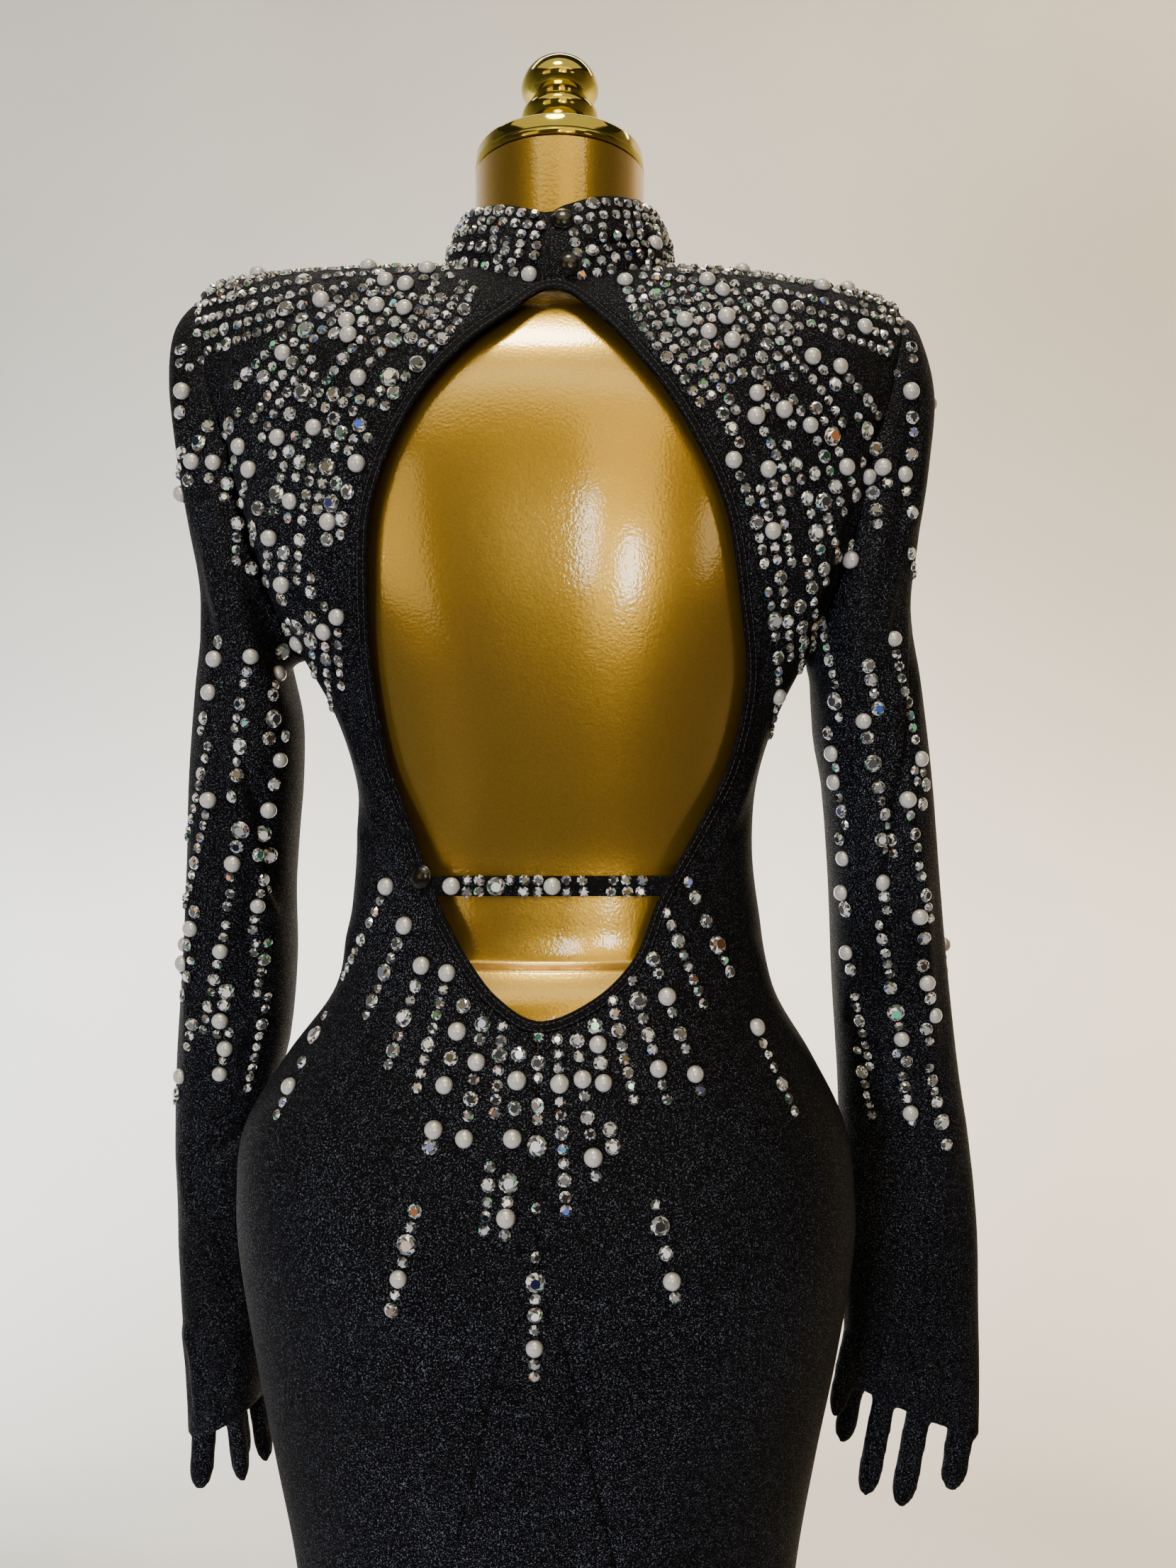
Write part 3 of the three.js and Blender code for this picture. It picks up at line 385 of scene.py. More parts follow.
def outward_faces(piece):
    work = bmesh.new()
    work.from_mesh(piece.data)
    bmesh.ops.remove_doubles(work, verts=work.verts, dist=1e-6)
    bmesh.ops.recalc_face_normals(work, faces=work.faces)
    work.to_mesh(piece.data)
    work.free()


def settle(piece):
    """Turns a piece's live modifiers into its plain mesh."""
    graph = bpy.context.evaluated_depsgraph_get()
    mesh = bpy.data.meshes.new_from_object(piece.evaluated_get(graph))
    piece.modifiers.clear()
    piece.data = mesh
    return piece


def thicken(piece, thickness):
    wall = piece.modifiers.new("Wall", "SOLIDIFY")
    wall.thickness = thickness * MM
    wall.offset = -1
    return settle(piece)


def grid_faces(row_count, column_count, around=False):
    faces = []
    for r in range(row_count - 1):
        for c in range(column_count if around else column_count - 1):
            a = r * column_count + c
            b = r * column_count + (c + 1) % column_count
            faces.append((a, b, b + column_count, a + column_count))
    return faces


def loft(name, rings, caps=True):
    """Rings of equally many points, joined in order, with a fan over each end."""
    rings = np.asarray(rings, float)
    count = rings.shape[1]
    points = list(rings.reshape(-1, 3))
    faces = grid_faces(len(rings), count, around=True)
    if caps:
        for start in (0, (len(rings) - 1) * count):
            points.append(np.mean(points[start:start + count], axis=0))
            hub = len(points) - 1
            faces += [(hub, start + k, start + (k + 1) % count) for k in range(count)]
    made = new_object(name, points, faces)
    outward_faces(made)
    return made


def turned_piece(name, profile, x=0.0, segments=96):
    """Spins a profile of radius and height round a vertical axis."""
    turns = np.linspace(0, 2 * math.pi, segments, endpoint=False)
    rings = [
        np.stack([x + r * np.cos(turns), r * np.sin(turns), np.full(segments, z)], axis=1)
        for r, z in profile
    ]
    return loft(name, rings)


def clip(params, faces, distance):
    """Keeps the part of a net where distance is positive and cuts the faces that its edge crosses."""
    side = np.where(np.abs(distance) < 0.25, 0, distance)
    points = list(params)
    kept, cut = [], {}
    for face in faces:
        values = [side[i] for i in face]
        if max(values) <= 0:
            continue
        if min(values) >= 0:
            kept.append(face)
            continue
        ring = []
        for a, b in zip(face, (*face[1:], face[0])):
            if side[a] >= 0:
                ring.append(a)
            if side[a] * side[b] < 0:
                key = (min(a, b), max(a, b))
                if key not in cut:
                    t = side[a] / (side[a] - side[b])
                    points.append((1 - t) * params[a] + t * params[b])
                    cut[key] = len(points) - 1
                ring.append(cut[key])
        if len(ring) > 2:
            kept.append(tuple(ring))
    return tidy_net(np.array(points), kept)


def tidy_net(points, faces):
    used = sorted({i for face in faces for i in face})
    where = {old: new for new, old in enumerate(used)}
    return points[used], [tuple(where[i] for i in face) for face in faces]


# ---- Materials ----


def linear(text):
    """An sRGB hex colour as the linear values a shader takes."""
    channels = [int(text[i:i + 2], 16) / 255 for i in (1, 3, 5)]
    return (*(c / 12.92 if c <= 0.04045 else ((c + 0.055) / 1.055) ** 2.4 for c in channels), 1)


def set_inputs(tree, node, inputs):
    """Links or sets each input of a node, by its name or number."""
    for key, value in inputs.items():
        if isinstance(value, bpy.types.NodeSocket):
            tree.links.new(value, node.inputs[key])
        else:
            node.inputs[key].default_value = value


def add_node(tree, kind, inputs=None, stops=(), **settings):
    """Adds a node, sets its properties and its stops of position and colour, if it has any, then
    links or sets its inputs."""
    made = tree.nodes.new(kind)
    for key, value in settings.items():
        setattr(made, key, value)
    if stops:
        ends = made.color_ramp.elements
        while len(ends) < len(stops):
            ends.new(0.5)
        for element, (position, colour) in zip(ends, stops):
            element.position, element.color = position, colour
    set_inputs(tree, made, inputs or {})
    return made


def new_material(name):
    material = bpy.data.materials.new(name)
    material.use_nodes = True
    tree = material.node_tree
    tree.nodes.clear()
    shader = add_node(tree, "ShaderNodeBsdfPrincipled")
    output = add_node(tree, "ShaderNodeOutputMaterial", {"Surface": shader.outputs["BSDF"]})
    output.name = "Output"
    return material, tree, shader


def grey(value):
    return (value, value, value, 1)


def scuba_material():
    """Scuba: a polyester and elastane double knit. Smooth, dense and nearly matt, with a faint
    pale heather where the yarn's fine filaments catch the light."""
    material, tree, shader = new_material("scuba_double_knit")
    settings = bpy.context.scene.dress_cloth
    place = add_node(tree, "ShaderNodeTexCoord").outputs["Object"]
    # Yarn loops are 0.4 mm apart; they are drawn 0.9 mm apart so that they show.
    loops = add_node(
        tree, "ShaderNodeTexNoise", {"Vector": place, "Scale": 1150, "Detail": 2, "Roughness": 0.75},
    ).outputs["Fac"]
    cloud = add_node(
        tree, "ShaderNodeTexNoise", {"Vector": place, "Scale": 9, "Detail": 2, "Roughness": 0.5},
    ).outputs["Fac"]
    heather = add_node(
        tree, "ShaderNodeValToRGB", {"Fac": loops},
        stops=((0.4, settings.ground), (0.57, settings.ground), (0.66, settings.fleck)),
    ).outputs["Color"]
    shade = add_node(
        tree, "ShaderNodeValToRGB", {"Fac": cloud}, stops=((0.35, grey(0.6)), (0.65, grey(1))),
    ).outputs["Color"]
    set_inputs(tree, shader, {
        "Base Color": add_node(
            tree, "ShaderNodeMix", {0: 1.0, 6: heather, 7: shade}, data_type="RGBA",
            blend_type="MULTIPLY",
        ).outputs[2],
        "Roughness": add_node(
            tree, "ShaderNodeValToRGB", {"Fac": loops}, stops=((0.45, grey(0.75)), (0.68, grey(0.42))),
        ).outputs["Color"],
        "Specular IOR Level": 0.1,
        "Normal": add_node(
            tree, "ShaderNodeBump", {"Height": loops, "Strength": 0.4, "Distance": 0.0004},
        ).outputs["Normal"],
    })
    return material


def binding_material():
    """Folded bias binding of the same knit, pressed flat, so a little denser and duller."""
    material, tree, shader = new_material("bias_binding")
    settings = bpy.context.scene.dress_cloth
    place = add_node(tree, "ShaderNodeTexCoord").outputs["Object"]
    loops = add_node(
        tree, "ShaderNodeTexNoise", {"Vector": place, "Scale": 1100, "Detail": 2},
    ).outputs["Fac"]
    set_inputs(tree, shader, {
        "Base Color": add_node(
            tree, "ShaderNodeValToRGB", {"Fac": loops},
            stops=((0.6, settings.ground), (0.95, settings.fleck)),
        ).outputs["Color"],
        "Roughness": 0.72,
        "Specular IOR Level": 0.12,
        "Normal": add_node(
            tree, "ShaderNodeBump", {"Height": loops, "Strength": 0.3, "Distance": 0.0004},
        ).outputs["Normal"],
    })
    return material


def thread_material():
    """Spun polyester thread: it catches a little more light than the cloth it holds."""
    material, tree, shader = new_material("polyester_thread")
    set_inputs(tree, shader, {"Base Color": linear("#26262a"), "Roughness": 0.5})
    return material


def snap_material():
    """Snap cap of lacquered steel: black, smooth and almost like a mirror."""
    material, tree, shader = new_material("black_lacquer")
    place = add_node(tree, "ShaderNodeTexCoord").outputs["Object"]
    wave = add_node(tree, "ShaderNodeTexNoise", {"Vector": place, "Scale": 260}).outputs["Fac"]
    set_inputs(tree, shader, {
        "Base Color": linear("#050506"),
        "Roughness": 0.24,
        "Coat Weight": 0.2,
        "Normal": add_node(
            tree, "ShaderNodeBump", {"Height": wave, "Strength": 0.1, "Distance": 0.0003},
        ).outputs["Normal"],
    })
    return material


def paint_material():
    """Sprayed metallic gold over a moulded shell: fine flake, a soft gloss and orange peel."""
    material, tree, shader = new_material("gold_spray_paint")
    settings = bpy.context.scene.dress_form
    place = add_node(tree, "ShaderNodeTexCoord").outputs["Object"]
    # Orange peel is 1.5 to 2 mm across; the flake is 0.1 mm and is drawn at 0.8 mm so it shows.
    peel = add_node(
        tree, "ShaderNodeTexNoise", {"Vector": place, "Scale": 560, "Detail": 2, "Roughness": 0.5},
    ).outputs["Fac"]
    flake = add_node(
        tree, "ShaderNodeTexNoise", {"Vector": place, "Scale": 1400, "Detail": 1},
    ).outputs["Fac"]
    cloud = add_node(
        tree, "ShaderNodeTexNoise", {"Vector": place, "Scale": 7, "Detail": 2},
    ).outputs["Fac"]
    tone = add_node(
        tree, "ShaderNodeValToRGB", {"Fac": flake},
        stops=((0.3, settings.paint_dark), (0.7, settings.paint_light)),
    ).outputs["Color"]
    drift = add_node(
        tree, "ShaderNodeValToRGB", {"Fac": cloud}, stops=((0.3, grey(0.93)), (0.7, grey(1))),
    ).outputs["Color"]
    tilted = add_node(
        tree, "ShaderNodeBump", {"Height": peel, "Strength": 0.17, "Distance": 0.0005},
    ).outputs["Normal"]
    set_inputs(tree, shader, {
        "Base Color": add_node(
            tree, "ShaderNodeMix", {0: 1.0, 6: tone, 7: drift}, data_type="RGBA",
            blend_type="MULTIPLY",
        ).outputs[2],
        "Roughness": add_node(
            tree, "ShaderNodeValToRGB", {"Fac": flake}, stops=((0.3, grey(0.28)), (0.7, grey(0.31))),
        ).outputs["Color"],
        "Metallic": 0.94,
        "Coat Weight": 1.0,
        "Coat IOR": 1.9,
        "Coat Roughness": 0.045,
        "Normal": tilted,
        "Coat Normal": tilted,
    })
    return material


def plate_material():
    """Bright gold plate over turned and polished metal, with fine wiping marks."""
    material, tree, shader = new_material("polished_gold_plate")
    place = add_node(tree, "ShaderNodeTexCoord").outputs["Object"]
    smear = add_node(
        tree, "ShaderNodeTexNoise", {"Vector": place, "Scale": 40, "Detail": 4},
    ).outputs["Fac"]
    set_inputs(tree, shader, {
        "Base Color": bpy.context.scene.dress_form.plate,
        "Metallic": 1.0,
        "Roughness": add_node(
            tree, "ShaderNodeValToRGB", {"Fac": smear}, stops=((0.35, grey(0.05)), (0.75, grey(0.16))),
        ).outputs["Color"],
    })
    return material


def crystal_material():
    """Foil-backed cut crystal with painted reflections: each facet is light or dark by a random number, not
    by its angle, and a few facets get a painted glint of fire in orange, white, blue or green.
    """
    material, tree, shader = new_material("foiled_crystal")
    clear = bpy.context.scene.dress_stones.crystal
    glint = add_node(tree, "ShaderNodeAttribute", attribute_name="glint").outputs["Fac"]
    painted_fire_chance = add_node(tree, "ShaderNodeAttribute", attribute_name="fire").outputs["Fac"]
    # Painted reflection: a random grey on each facet, from near black to near white, stands in for the lamps
    # and the dark room that the facet would mirror.
    tone = add_node(
        tree, "ShaderNodeValToRGB", {"Fac": glint},
        stops=((0.0, grey(0.02)), (0.3, grey(0.07)), (0.6, grey(0.26)), (0.9, grey(0.85))),
    ).outputs["Color"]
    # Painted fire: facets whose random number is high are tinted orange, white, blue or green, as glints of
    # dispersed light.
    fire = add_node(
        tree, "ShaderNodeValToRGB", {"Fac": painted_fire_chance},
        stops=(
            (0.0, clear), (0.86, clear), (0.89, linear("#ff9a4a")),
            (0.92, linear("#ffffff")), (0.955, linear("#4a6cff")), (0.985, linear("#70ffa0")),
        ),
    ).outputs["Color"]
    set_inputs(tree, shader, {
        "Base Color": add_node(
            tree, "ShaderNodeMix", {0: 1.0, 6: tone, 7: fire}, data_type="RGBA",
            blend_type="MULTIPLY",
        ).outputs[2],
        "Metallic": 0.5,
        "Roughness": 0.1,
        "Coat Weight": 1.0,
        "Coat Roughness": 0.03,
    })
    return material


def pearl_material():
    """Half-round imitation pearl: warm white lacquer with a soft deep gloss under a clear coat."""
    material, tree, shader = new_material("imitation_pearl")
    pearl = bpy.context.scene.dress_stones.pearl
    place = add_node(tree, "ShaderNodeTexCoord").outputs["Object"]
    # The pearl essence lies in soft bands some millimetres wide.
    band = add_node(
        tree, "ShaderNodeTexNoise", {"Vector": place, "Scale": 240, "Detail": 1},
    ).outputs["Fac"]
    set_inputs(tree, shader, {
        "Base Color": add_node(
            tree, "ShaderNodeValToRGB", {"Fac": band},
            stops=((0.3, [c * 0.93 for c in pearl[:3]] + [1]), (0.7, pearl)),
        ).outputs["Color"],
        "Metallic": 0.35,
        "Roughness": 0.3,
        "Coat Weight": 1.0,
        "Coat IOR": 1.9,
        "Coat Roughness": 0.05,
    })
    return material


MAKERS = {
    "cloth": scuba_material, "binding": binding_material, "thread": thread_material,
    "snap": snap_material, "paint": paint_material, "plate": plate_material,
    "crystal": crystal_material, "pearl": pearl_material,
}
made_materials = {}


def finish_of(name):
    if name not in made_materials:
        made_materials[name] = MAKERS[name]()
    return made_materials[name]


def fit_piece(piece, finish, slot, *nodes):
    """Gives a piece its material and its place in the frame."""
    piece.data.materials.clear()
    piece.data.materials.append(finish_of(finish))
    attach(piece, "root")
    if nodes:
        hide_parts(*nodes)
    return piece


# ---- Dress panels ----

CELL = 5.0                # size of a panel's mesh cell
SEAM = 0.1                # half of the gap that sewn panels keep
FAR = 60.0                # stands for the distance to an edge that is nowhere near
# Creases in the cloth, from end to end. face is -1 behind and 1 in front, bend bows the line to
# one side, and deep is how far it stands out of the smooth cloth, less than 0 in a valley.
CREASES = rows(
    "face x1 z1 x2 z2 bend wide deep",
    (-1, -186, 1400, -150, 1215, 10, 5.5, -5.0), (-1, -174, 1345, -138, 1222, 8, 5, -3.2),
    (-1, -160, 1330, -133, 1215, 6, 5, 2.2), (-1, -118, 1330, -112, 1235, 3, 6, -1.8),
    (-1, 190, 1395, 150, 1225, -8, 6, -5.0), (-1, 172, 1330, 142, 1220, -6, 5, -2.6),
    (-1, 158, 1320, 132, 1215, -5, 5, 1.8), (-1, -118, 1190, -80, 1120, 4, 4, 1.6),
    (-1, -122, 1165, -88, 1098, 3, 4, -1.4), (-1, 122, 1180, 90, 1110, -4, 4, 1.6),
    (-1, -30, 1412, -70, 1398, 2, 4, 1.2), (-1, 35, 1404, 80, 1392, -2, 4, 1.0),
    (1, -178, 1385, -132, 1295, 8, 8, -3.5), (1, 178, 1380, 132, 1295, -8, 8, -3.5),
    (1, -165, 1330, -128, 1262, 5, 6, -2.2), (1, 163, 1335, 126, 1266, -5, 6, -2.4),
    (1, -52, 1122, -102, 1080, 4, 7, 1.4), (1, 60, 1116, 104, 1072, -4, 7, 1.3),
    (1, -30, 1230, 34, 1236, 6, 9, -1.4), (1, -44, 1090, 40, 1096, -4, 7, -1.1),
    (-1, -112, 846, -52, 856, -5, 13, -2.6), (-1, 46, 838, 104, 832, 4, 14, -1.6),
    (-1, -150, 1404, -96, 1420, -3, 5, -1.6), (-1, 96, 1424, 150, 1410, 3, 5, -1.6),
    (-1, -96, 1080, -150, 1010, 5, 6, 1.3), (-1, 100, 1070, 140, 1012, -5, 6, 1.2),
    (-1, -128, 1262, -104, 1180, 4, 4, -1.8), (-1, 128, 1270, 110, 1190, -4, 4, -1.7),
)
# Overlaps where slack cloth falls over itself, as the line of the edge from top to bottom. drop
# is 1 where the cloth falls away on the line's right and -1 on its left.
OVERLAPS = {
    "body": (
        (-1, ((-196, 1392), (-181, 1330), (-166, 1275), (-150, 1222)), -1, 2.6),
        (-1, ((197, 1384), (183, 1322), (168, 1270), (152, 1226)), 1, 2.4),
        (1, ((-190, 1380), (-172, 1325), (-150, 1270)), -1, 1.8),
        (1, ((190, 1374), (172, 1320), (150, 1268)), 1, 1.8),
    ),
    "left": (
        (-1, ((-193, 1219), (-188, 1190), (-182, 1160), (-175, 1136), (-172, 1112), (-171, 1093),
              (-163, 1064)), 1, 2.6),
        (-1, ((-222, 908), (-200, 922), (-172, 945)), 1, 2.4),
        (-1, ((-232, 812), (-222, 790), (-214, 768)), 1, 1.6),
        (1, ((-196, 1230), (-190, 1180), (-186, 1120)), -1, 2.0),
    ),
    "right": (
        (-1, ((208, 1250), (204, 1203), (200, 1157), (195, 1131), (192, 1101), (187, 1046),
              (181, 1015), (178, 990)), 1, 3.0),
        (-1, ((192, 962), (206, 950), (226, 946)), -1, 1.8),
        (-1, ((206, 806), (226, 786), (244, 772)), -1, 1.6),
        (1, ((202, 1230), (198, 1170), (194, 1110)), 1, 2.0),
    ),
}


def overlap_lift(points, normals, overlaps):
    """Lifts the upper layer of each overlap and sinks the cloth beside its edge."""
    lift = np.zeros(len(points))
    for face, path, drop, high in overlaps:
        line = spline([(x, z) for x, z in path], 60)
        flat = points[:, [0, 2]]
        near = np.argmin(((flat[:, None] - line[None]) ** 2).sum(axis=2), axis=1)
        along = np.gradient(line, axis=0)
        along /= np.linalg.norm(along, axis=1, keepdims=True)
        right = np.stack([-along[:, 1], along[:, 0]], axis=1)
        offset = flat - line[near]
        away = (offset * right[near]).sum(axis=1) * drop
        end = np.abs((offset * along[near]).sum(axis=1))
        share = near / 59
        fade = smooth_step(0, 0.2, share) * (1 - smooth_step(0.8, 1, share)) * (end < 3)
        over = high * bell(away, 11) * (away <= 0)
        under = high * (1 - 2.1 * smooth_step(0, 3.2, away)) * (1 - smooth_step(3.2, 13, away))
        shape = np.where(away <= 0, over, under)
        lift += shape * fade * smooth_step(-0.1, 0.35, normals[:, 1] * face)
    return lift


def crease_lift(points, normals, creases):
    """How far each point stands out of the smooth cloth, from the creases that pass near it."""
    lift = np.zeros(len(points))
    for row in creases:
        start = np.array([row["x1"], row["z1"]], float)
        along = np.array([row["x2"], row["z2"]], float) - start
        length = np.linalg.norm(along)
        along /= length
        across = np.array([along[1], -along[0]])
        offset = points[:, [0, 2]] - start
        t = (offset @ along) / length
        bow = row["bend"] * 4 * np.clip(t, 0, 1) * (1 - np.clip(t, 0, 1))
        away = (offset @ across - bow) / row["wide"]
        fade = smooth_step(-0.12, 0.3, t) * (1 - smooth_step(0.65, 1.12, t))
        shape = np.exp(-away**2) - 0.3 * np.exp(-((np.abs(away) - 2.1) ** 2))
        facing = smooth_step(-0.1, 0.35, normals[:, 1] * row["face"])
        lift += row["deep"] * shape * fade * facing
    return lift


def panel_heights():
    """Heights of a panel's rows, evenly spaced over its curved surface."""
    z = np.arange(HEM_Z, RIDGE_Z + 0.01, 0.5)
    out = np.maximum(
        np.abs(np.diff(read_column(DRESS_LEVELS, "back", z))),
        np.abs(np.diff(read_column(DRESS_LEVELS, "half", z))),
    )
    along = np.concatenate([[0], np.cumsum(np.hypot(0.5, out))])
    heights = np.interp(np.arange(0, along[-1], CELL), along, z)
    return np.concatenate([heights, [RIDGE_Z, RIDGE_Z + CLOSE / 2, RIDGE_Z + CLOSE]])


def panel_angles(first, last, count):
    """Angles that space the points of one ring evenly."""
    fine = np.linspace(first, last, 900)
    ring = dress_points(fine, np.full(900, 1300.0))
    along = np.concatenate([[0], np.cumsum(np.linalg.norm(np.diff(ring, axis=0), axis=1))])
    return np.interp(np.linspace(0, along[-1], count), along, fine)


def half_body(first, last):
    angles = panel_angles(first, last, 104)
    heights = panel_heights()
    around, up = np.meshgrid(angles, heights)
    params = np.stack([around.ravel(), up.ravel()], axis=1)
    return params, grid_faces(len(heights), len(angles))


def neckline_distance(p):
    ring = np.hypot((p[:, 0] - NECK_X) / NECKLINE["half_x"], p[:, 1] / NECKLINE["half_y"])
    return np.where(p[:, 2] > 1380, (ring - 1) * 60, FAR)


def armhole_distance(p):
    best = np.full(len(p), FAR)
    for side, sign in (("left", -1), ("right", 1)):
        drop = ARMHOLE["drop"][side] / 2
        up = (p[:, 2] - ARMHOLE["z"] + drop) / (ARMHOLE["half_up"] - drop)
        ring = np.hypot(p[:, 1] / ARMHOLE["half_y"], up)
        best = np.where(p[:, 0] * sign > 90, np.minimum(best, (ring - 1) * 60), best)
    return best


def cutout_distance(p):
    return outline_distance(p[:, 0], p[:, 2], cutout_outline(BINDING_WIDTH - 0.5))


def godet_distance(p):
    return outline_distance(p[:, 0], p[:, 2], godet_outline())


def cut_net(net, distance):
    params, faces = net
    return clip(params, faces, distance(dress_points(params[:, 0], params[:, 1])))


def seam_distance(p):
    """Distance to the nearest sewn seam between panels."""
    godet = np.where(p[:, 1] < 0, np.abs(godet_distance(p)), FAR)
    middle = np.where((p[:, 1] < 0) & (p[:, 2] > 880), np.abs(p[:, 0] - BACK_SEAM_X), FAR)
    sides = np.where(p[:, 2] < 1222, np.abs(p[:, 1]), FAR)
    return np.minimum(np.minimum(godet, middle), sides)


def finish_panel(name, net, cloth):
    params, faces = net
    p = dress_points(params[:, 0], params[:, 1])
    panel = new_object(name + "_cloth", p, faces)
    normals = read_normals(panel)
    if np.sum(normals[:, 0] * p[:, 0] + normals[:, 1] * p[:, 1]) < 0:
        panel.data.flip_normals()
        normals = -normals
    roll = -0.5 * np.clip(1 - seam_distance(p) / 1.6, 0, 1) ** 2
    hem = -0.5 * bell(p[:, 2] - HEM_Z - 22, 1.8)
    folds = crease_lift(p, normals, CREASES) + overlap_lift(p, normals, OVERLAPS["body"])
    write_points(panel, p + normals * (folds + roll + hem)[:, None])
    thicken(panel, cloth)
    fit_piece(panel, "cloth", "scuba_cloth", name)
    return panel


def make_panels(cloth):
    front = half_body(0, math.pi)
    for distance in (neckline_distance, armhole_distance):
        front = cut_net(front, distance)
    finish_panel("dress_front", front, cloth)

    back = half_body(math.pi, 2 * math.pi)
    for distance in (neckline_distance, armhole_distance, cutout_distance):
        back = cut_net(back, distance)
    godet = cut_net(back, lambda p: -godet_distance(p) - SEAM)
    beside = cut_net(back, lambda p: godet_distance(p) - SEAM)
    left = cut_net(beside, lambda p: BACK_SEAM_X - SEAM - p[:, 0])
    right = cut_net(beside, lambda p: p[:, 0] - BACK_SEAM_X - SEAM)
    finish_panel("back_left", left, cloth)
    finish_panel("back_right", right, cloth)
    finish_panel("back_godet", godet, cloth)


# ---- Gloved sleeves ----

SLEEVE_AROUND = 96
SLEEVE_ROWS = 190
SLEEVE_CREASES = {
    "left": rows(
        "face x1 z1 x2 z2 bend wide deep",
        (-1, -205, 1370, -176, 1225, 6, 5, -3.2), (-1, -190, 1200, -196, 1060, -4, 5, -2.6),
        (-1, -209, 1120, -222, 960, 3, 5, 1.8), (-1, -176, 1130, -186, 990, -3, 5, -1.8),
        (-1, -190, 1090, -200, 1010, 3, 6, 1.6), (-1, -232, 930, -214, 860, 3, 7, 1.6),
        (-1, -206, 880, -198, 812, -2, 5, -1.6), (-1, -215, 790, -217, 750, 1, 2.6, -2.0),
        (-1, -201, 792, -204, 756, 1, 2.4, -2.0), (-1, -229, 800, -226, 756, 1, 3, -1.6),
        (-1, -205, 1300, -185, 1210, 3, 4, -2.2), (-1, -182, 1010, -196, 962, 3, 4, 1.8),
        (1, -208, 1180, -170, 1130, 6, 6, -2.6),
        (1, -212, 1010, -180, 975, 5, 6, -2.4), (1, -200, 1330, -178, 1235, 5, 6, -2.5),
    ),
    "right": rows(
        "face x1 z1 x2 z2 bend wide deep",
        (-1, 206, 1365, 180, 1225, -6, 5, -3.4), (-1, 196, 1200, 206, 1060, 4, 5, -2.6),
        (-1, 212, 1130, 232, 960, -3, 5, 1.8), (-1, 186, 1120, 198, 990, 3, 5, -1.8),
        (-1, 214, 1080, 226, 1000, 3, 6, 1.6), (-1, 248, 930, 238, 850, 3, 7, 1.6),
        (-1, 214, 890, 208, 820, -2, 5, -1.6), (-1, 224, 800, 222, 756, 1, 2.6, -2.2),
        (-1, 249, 800, 248, 750, 1, 2.6, -2.2), (-1, 205, 806, 203, 768, 1, 2.4, -2.0),
        (-1, 211, 1300, 196, 1215, 3, 4, -2.2), (-1, 196, 1010, 210, 966, 3, 4, 1.8),
        (1, 214, 1180, 178, 1130, -6, 6, -2.6),
        (1, 226, 1010, 190, 975, -5, 6, -2.4), (1, 205, 1330, 182, 1235, -5, 6, -2.5),
    ),
}


def side_width(y, z):
    """Half width of the dress at a depth and height beside the armhole."""
    depth = np.where(y > 0, read_column(DRESS_LEVELS, "front", z), read_column(DRESS_LEVELS, "back", z))
    rest = np.maximum(1 - (np.abs(y) / depth) ** SQUARENESS, 0)
    return read_column(DRESS_LEVELS, "half", z) * rest ** (1 / SQUARENESS)


def sleeve_rings(side):
    sign = 1 if side == "right" else -1
    turns = np.linspace(0, 2 * math.pi, SLEEVE_AROUND, endpoint=False)
    drop = ARMHOLE["drop"][side] / 2
    y = (ARMHOLE["half_y"] - 0.6) * np.sin(turns)
    z = ARMHOLE["z"] - drop + (ARMHOLE["half_up"] - drop - 0.6) * np.cos(turns)
    x = read_column(DRESS_LEVELS, "mid", z) + sign * (side_width(y, z) - 6)
    rings = [np.stack([x, y, z], axis=1), np.stack([x + sign * 7.5, y, z], axis=1)]
    across = powered(np.cos(turns), 2 / 2.2)
    deep = powered(np.sin(turns), 2 / 2.2)
    for row in SLEEVES[side]:
        mid_x, half_x = (row["out_x"] + row["in_x"]) / 2, (row["out_x"] - row["in_x"]) / 2
        mid_z, half_z = (row["out_z"] + row["in_z"]) / 2, (row["out_z"] - row["in_z"]) / 2
        x = sign * (mid_x + half_x * across)
        rings.append(np.stack([x, row["mid_y"] + row["deep"] * deep, mid_z + half_z * across], axis=1))
    flat = np.array(rings).reshape(len(rings), -1)
    return spline(flat, SLEEVE_ROWS).reshape(SLEEVE_ROWS, SLEEVE_AROUND, 3)


def finger_rings(row, sign):
    root = np.array(row["root"], float) * (sign, 1, 1)
    tip = np.array(row["tip"], float) * (sign, 1, 1)
    length = np.linalg.norm(tip - root)
    down = (tip - root) / length
    face = math.radians(row["face"] * sign)
    wide = np.array([math.cos(face), math.sin(face), 0])
    thick = np.cross(down, wide)
    thick /= np.linalg.norm(thick)
    turns = np.linspace(0, 2 * math.pi, 20, endpoint=False)[:, None]
    rings = []
    ends = [(length - at, size) for at, size in
            ((12, 0.97), (8, 0.86), (5, 0.7), (2.5, 0.5), (0.8, 0.3), (0, 0.12))]
    middle = [(length * f, s) for f, s in ((0.12, 0.97), (0.35, 1.02), (0.48, 0.96), (0.6, 1.0))]
    for at, size in [(-FINGER_SINK, 0.8), (0, 0.98), *middle, *ends]:
        across = np.cos(turns) * wide * row["half"] + np.sin(turns) * thick * (FINGER_THICK + 0.6)
        rings.append(root + down * at + across * size)
    return rings


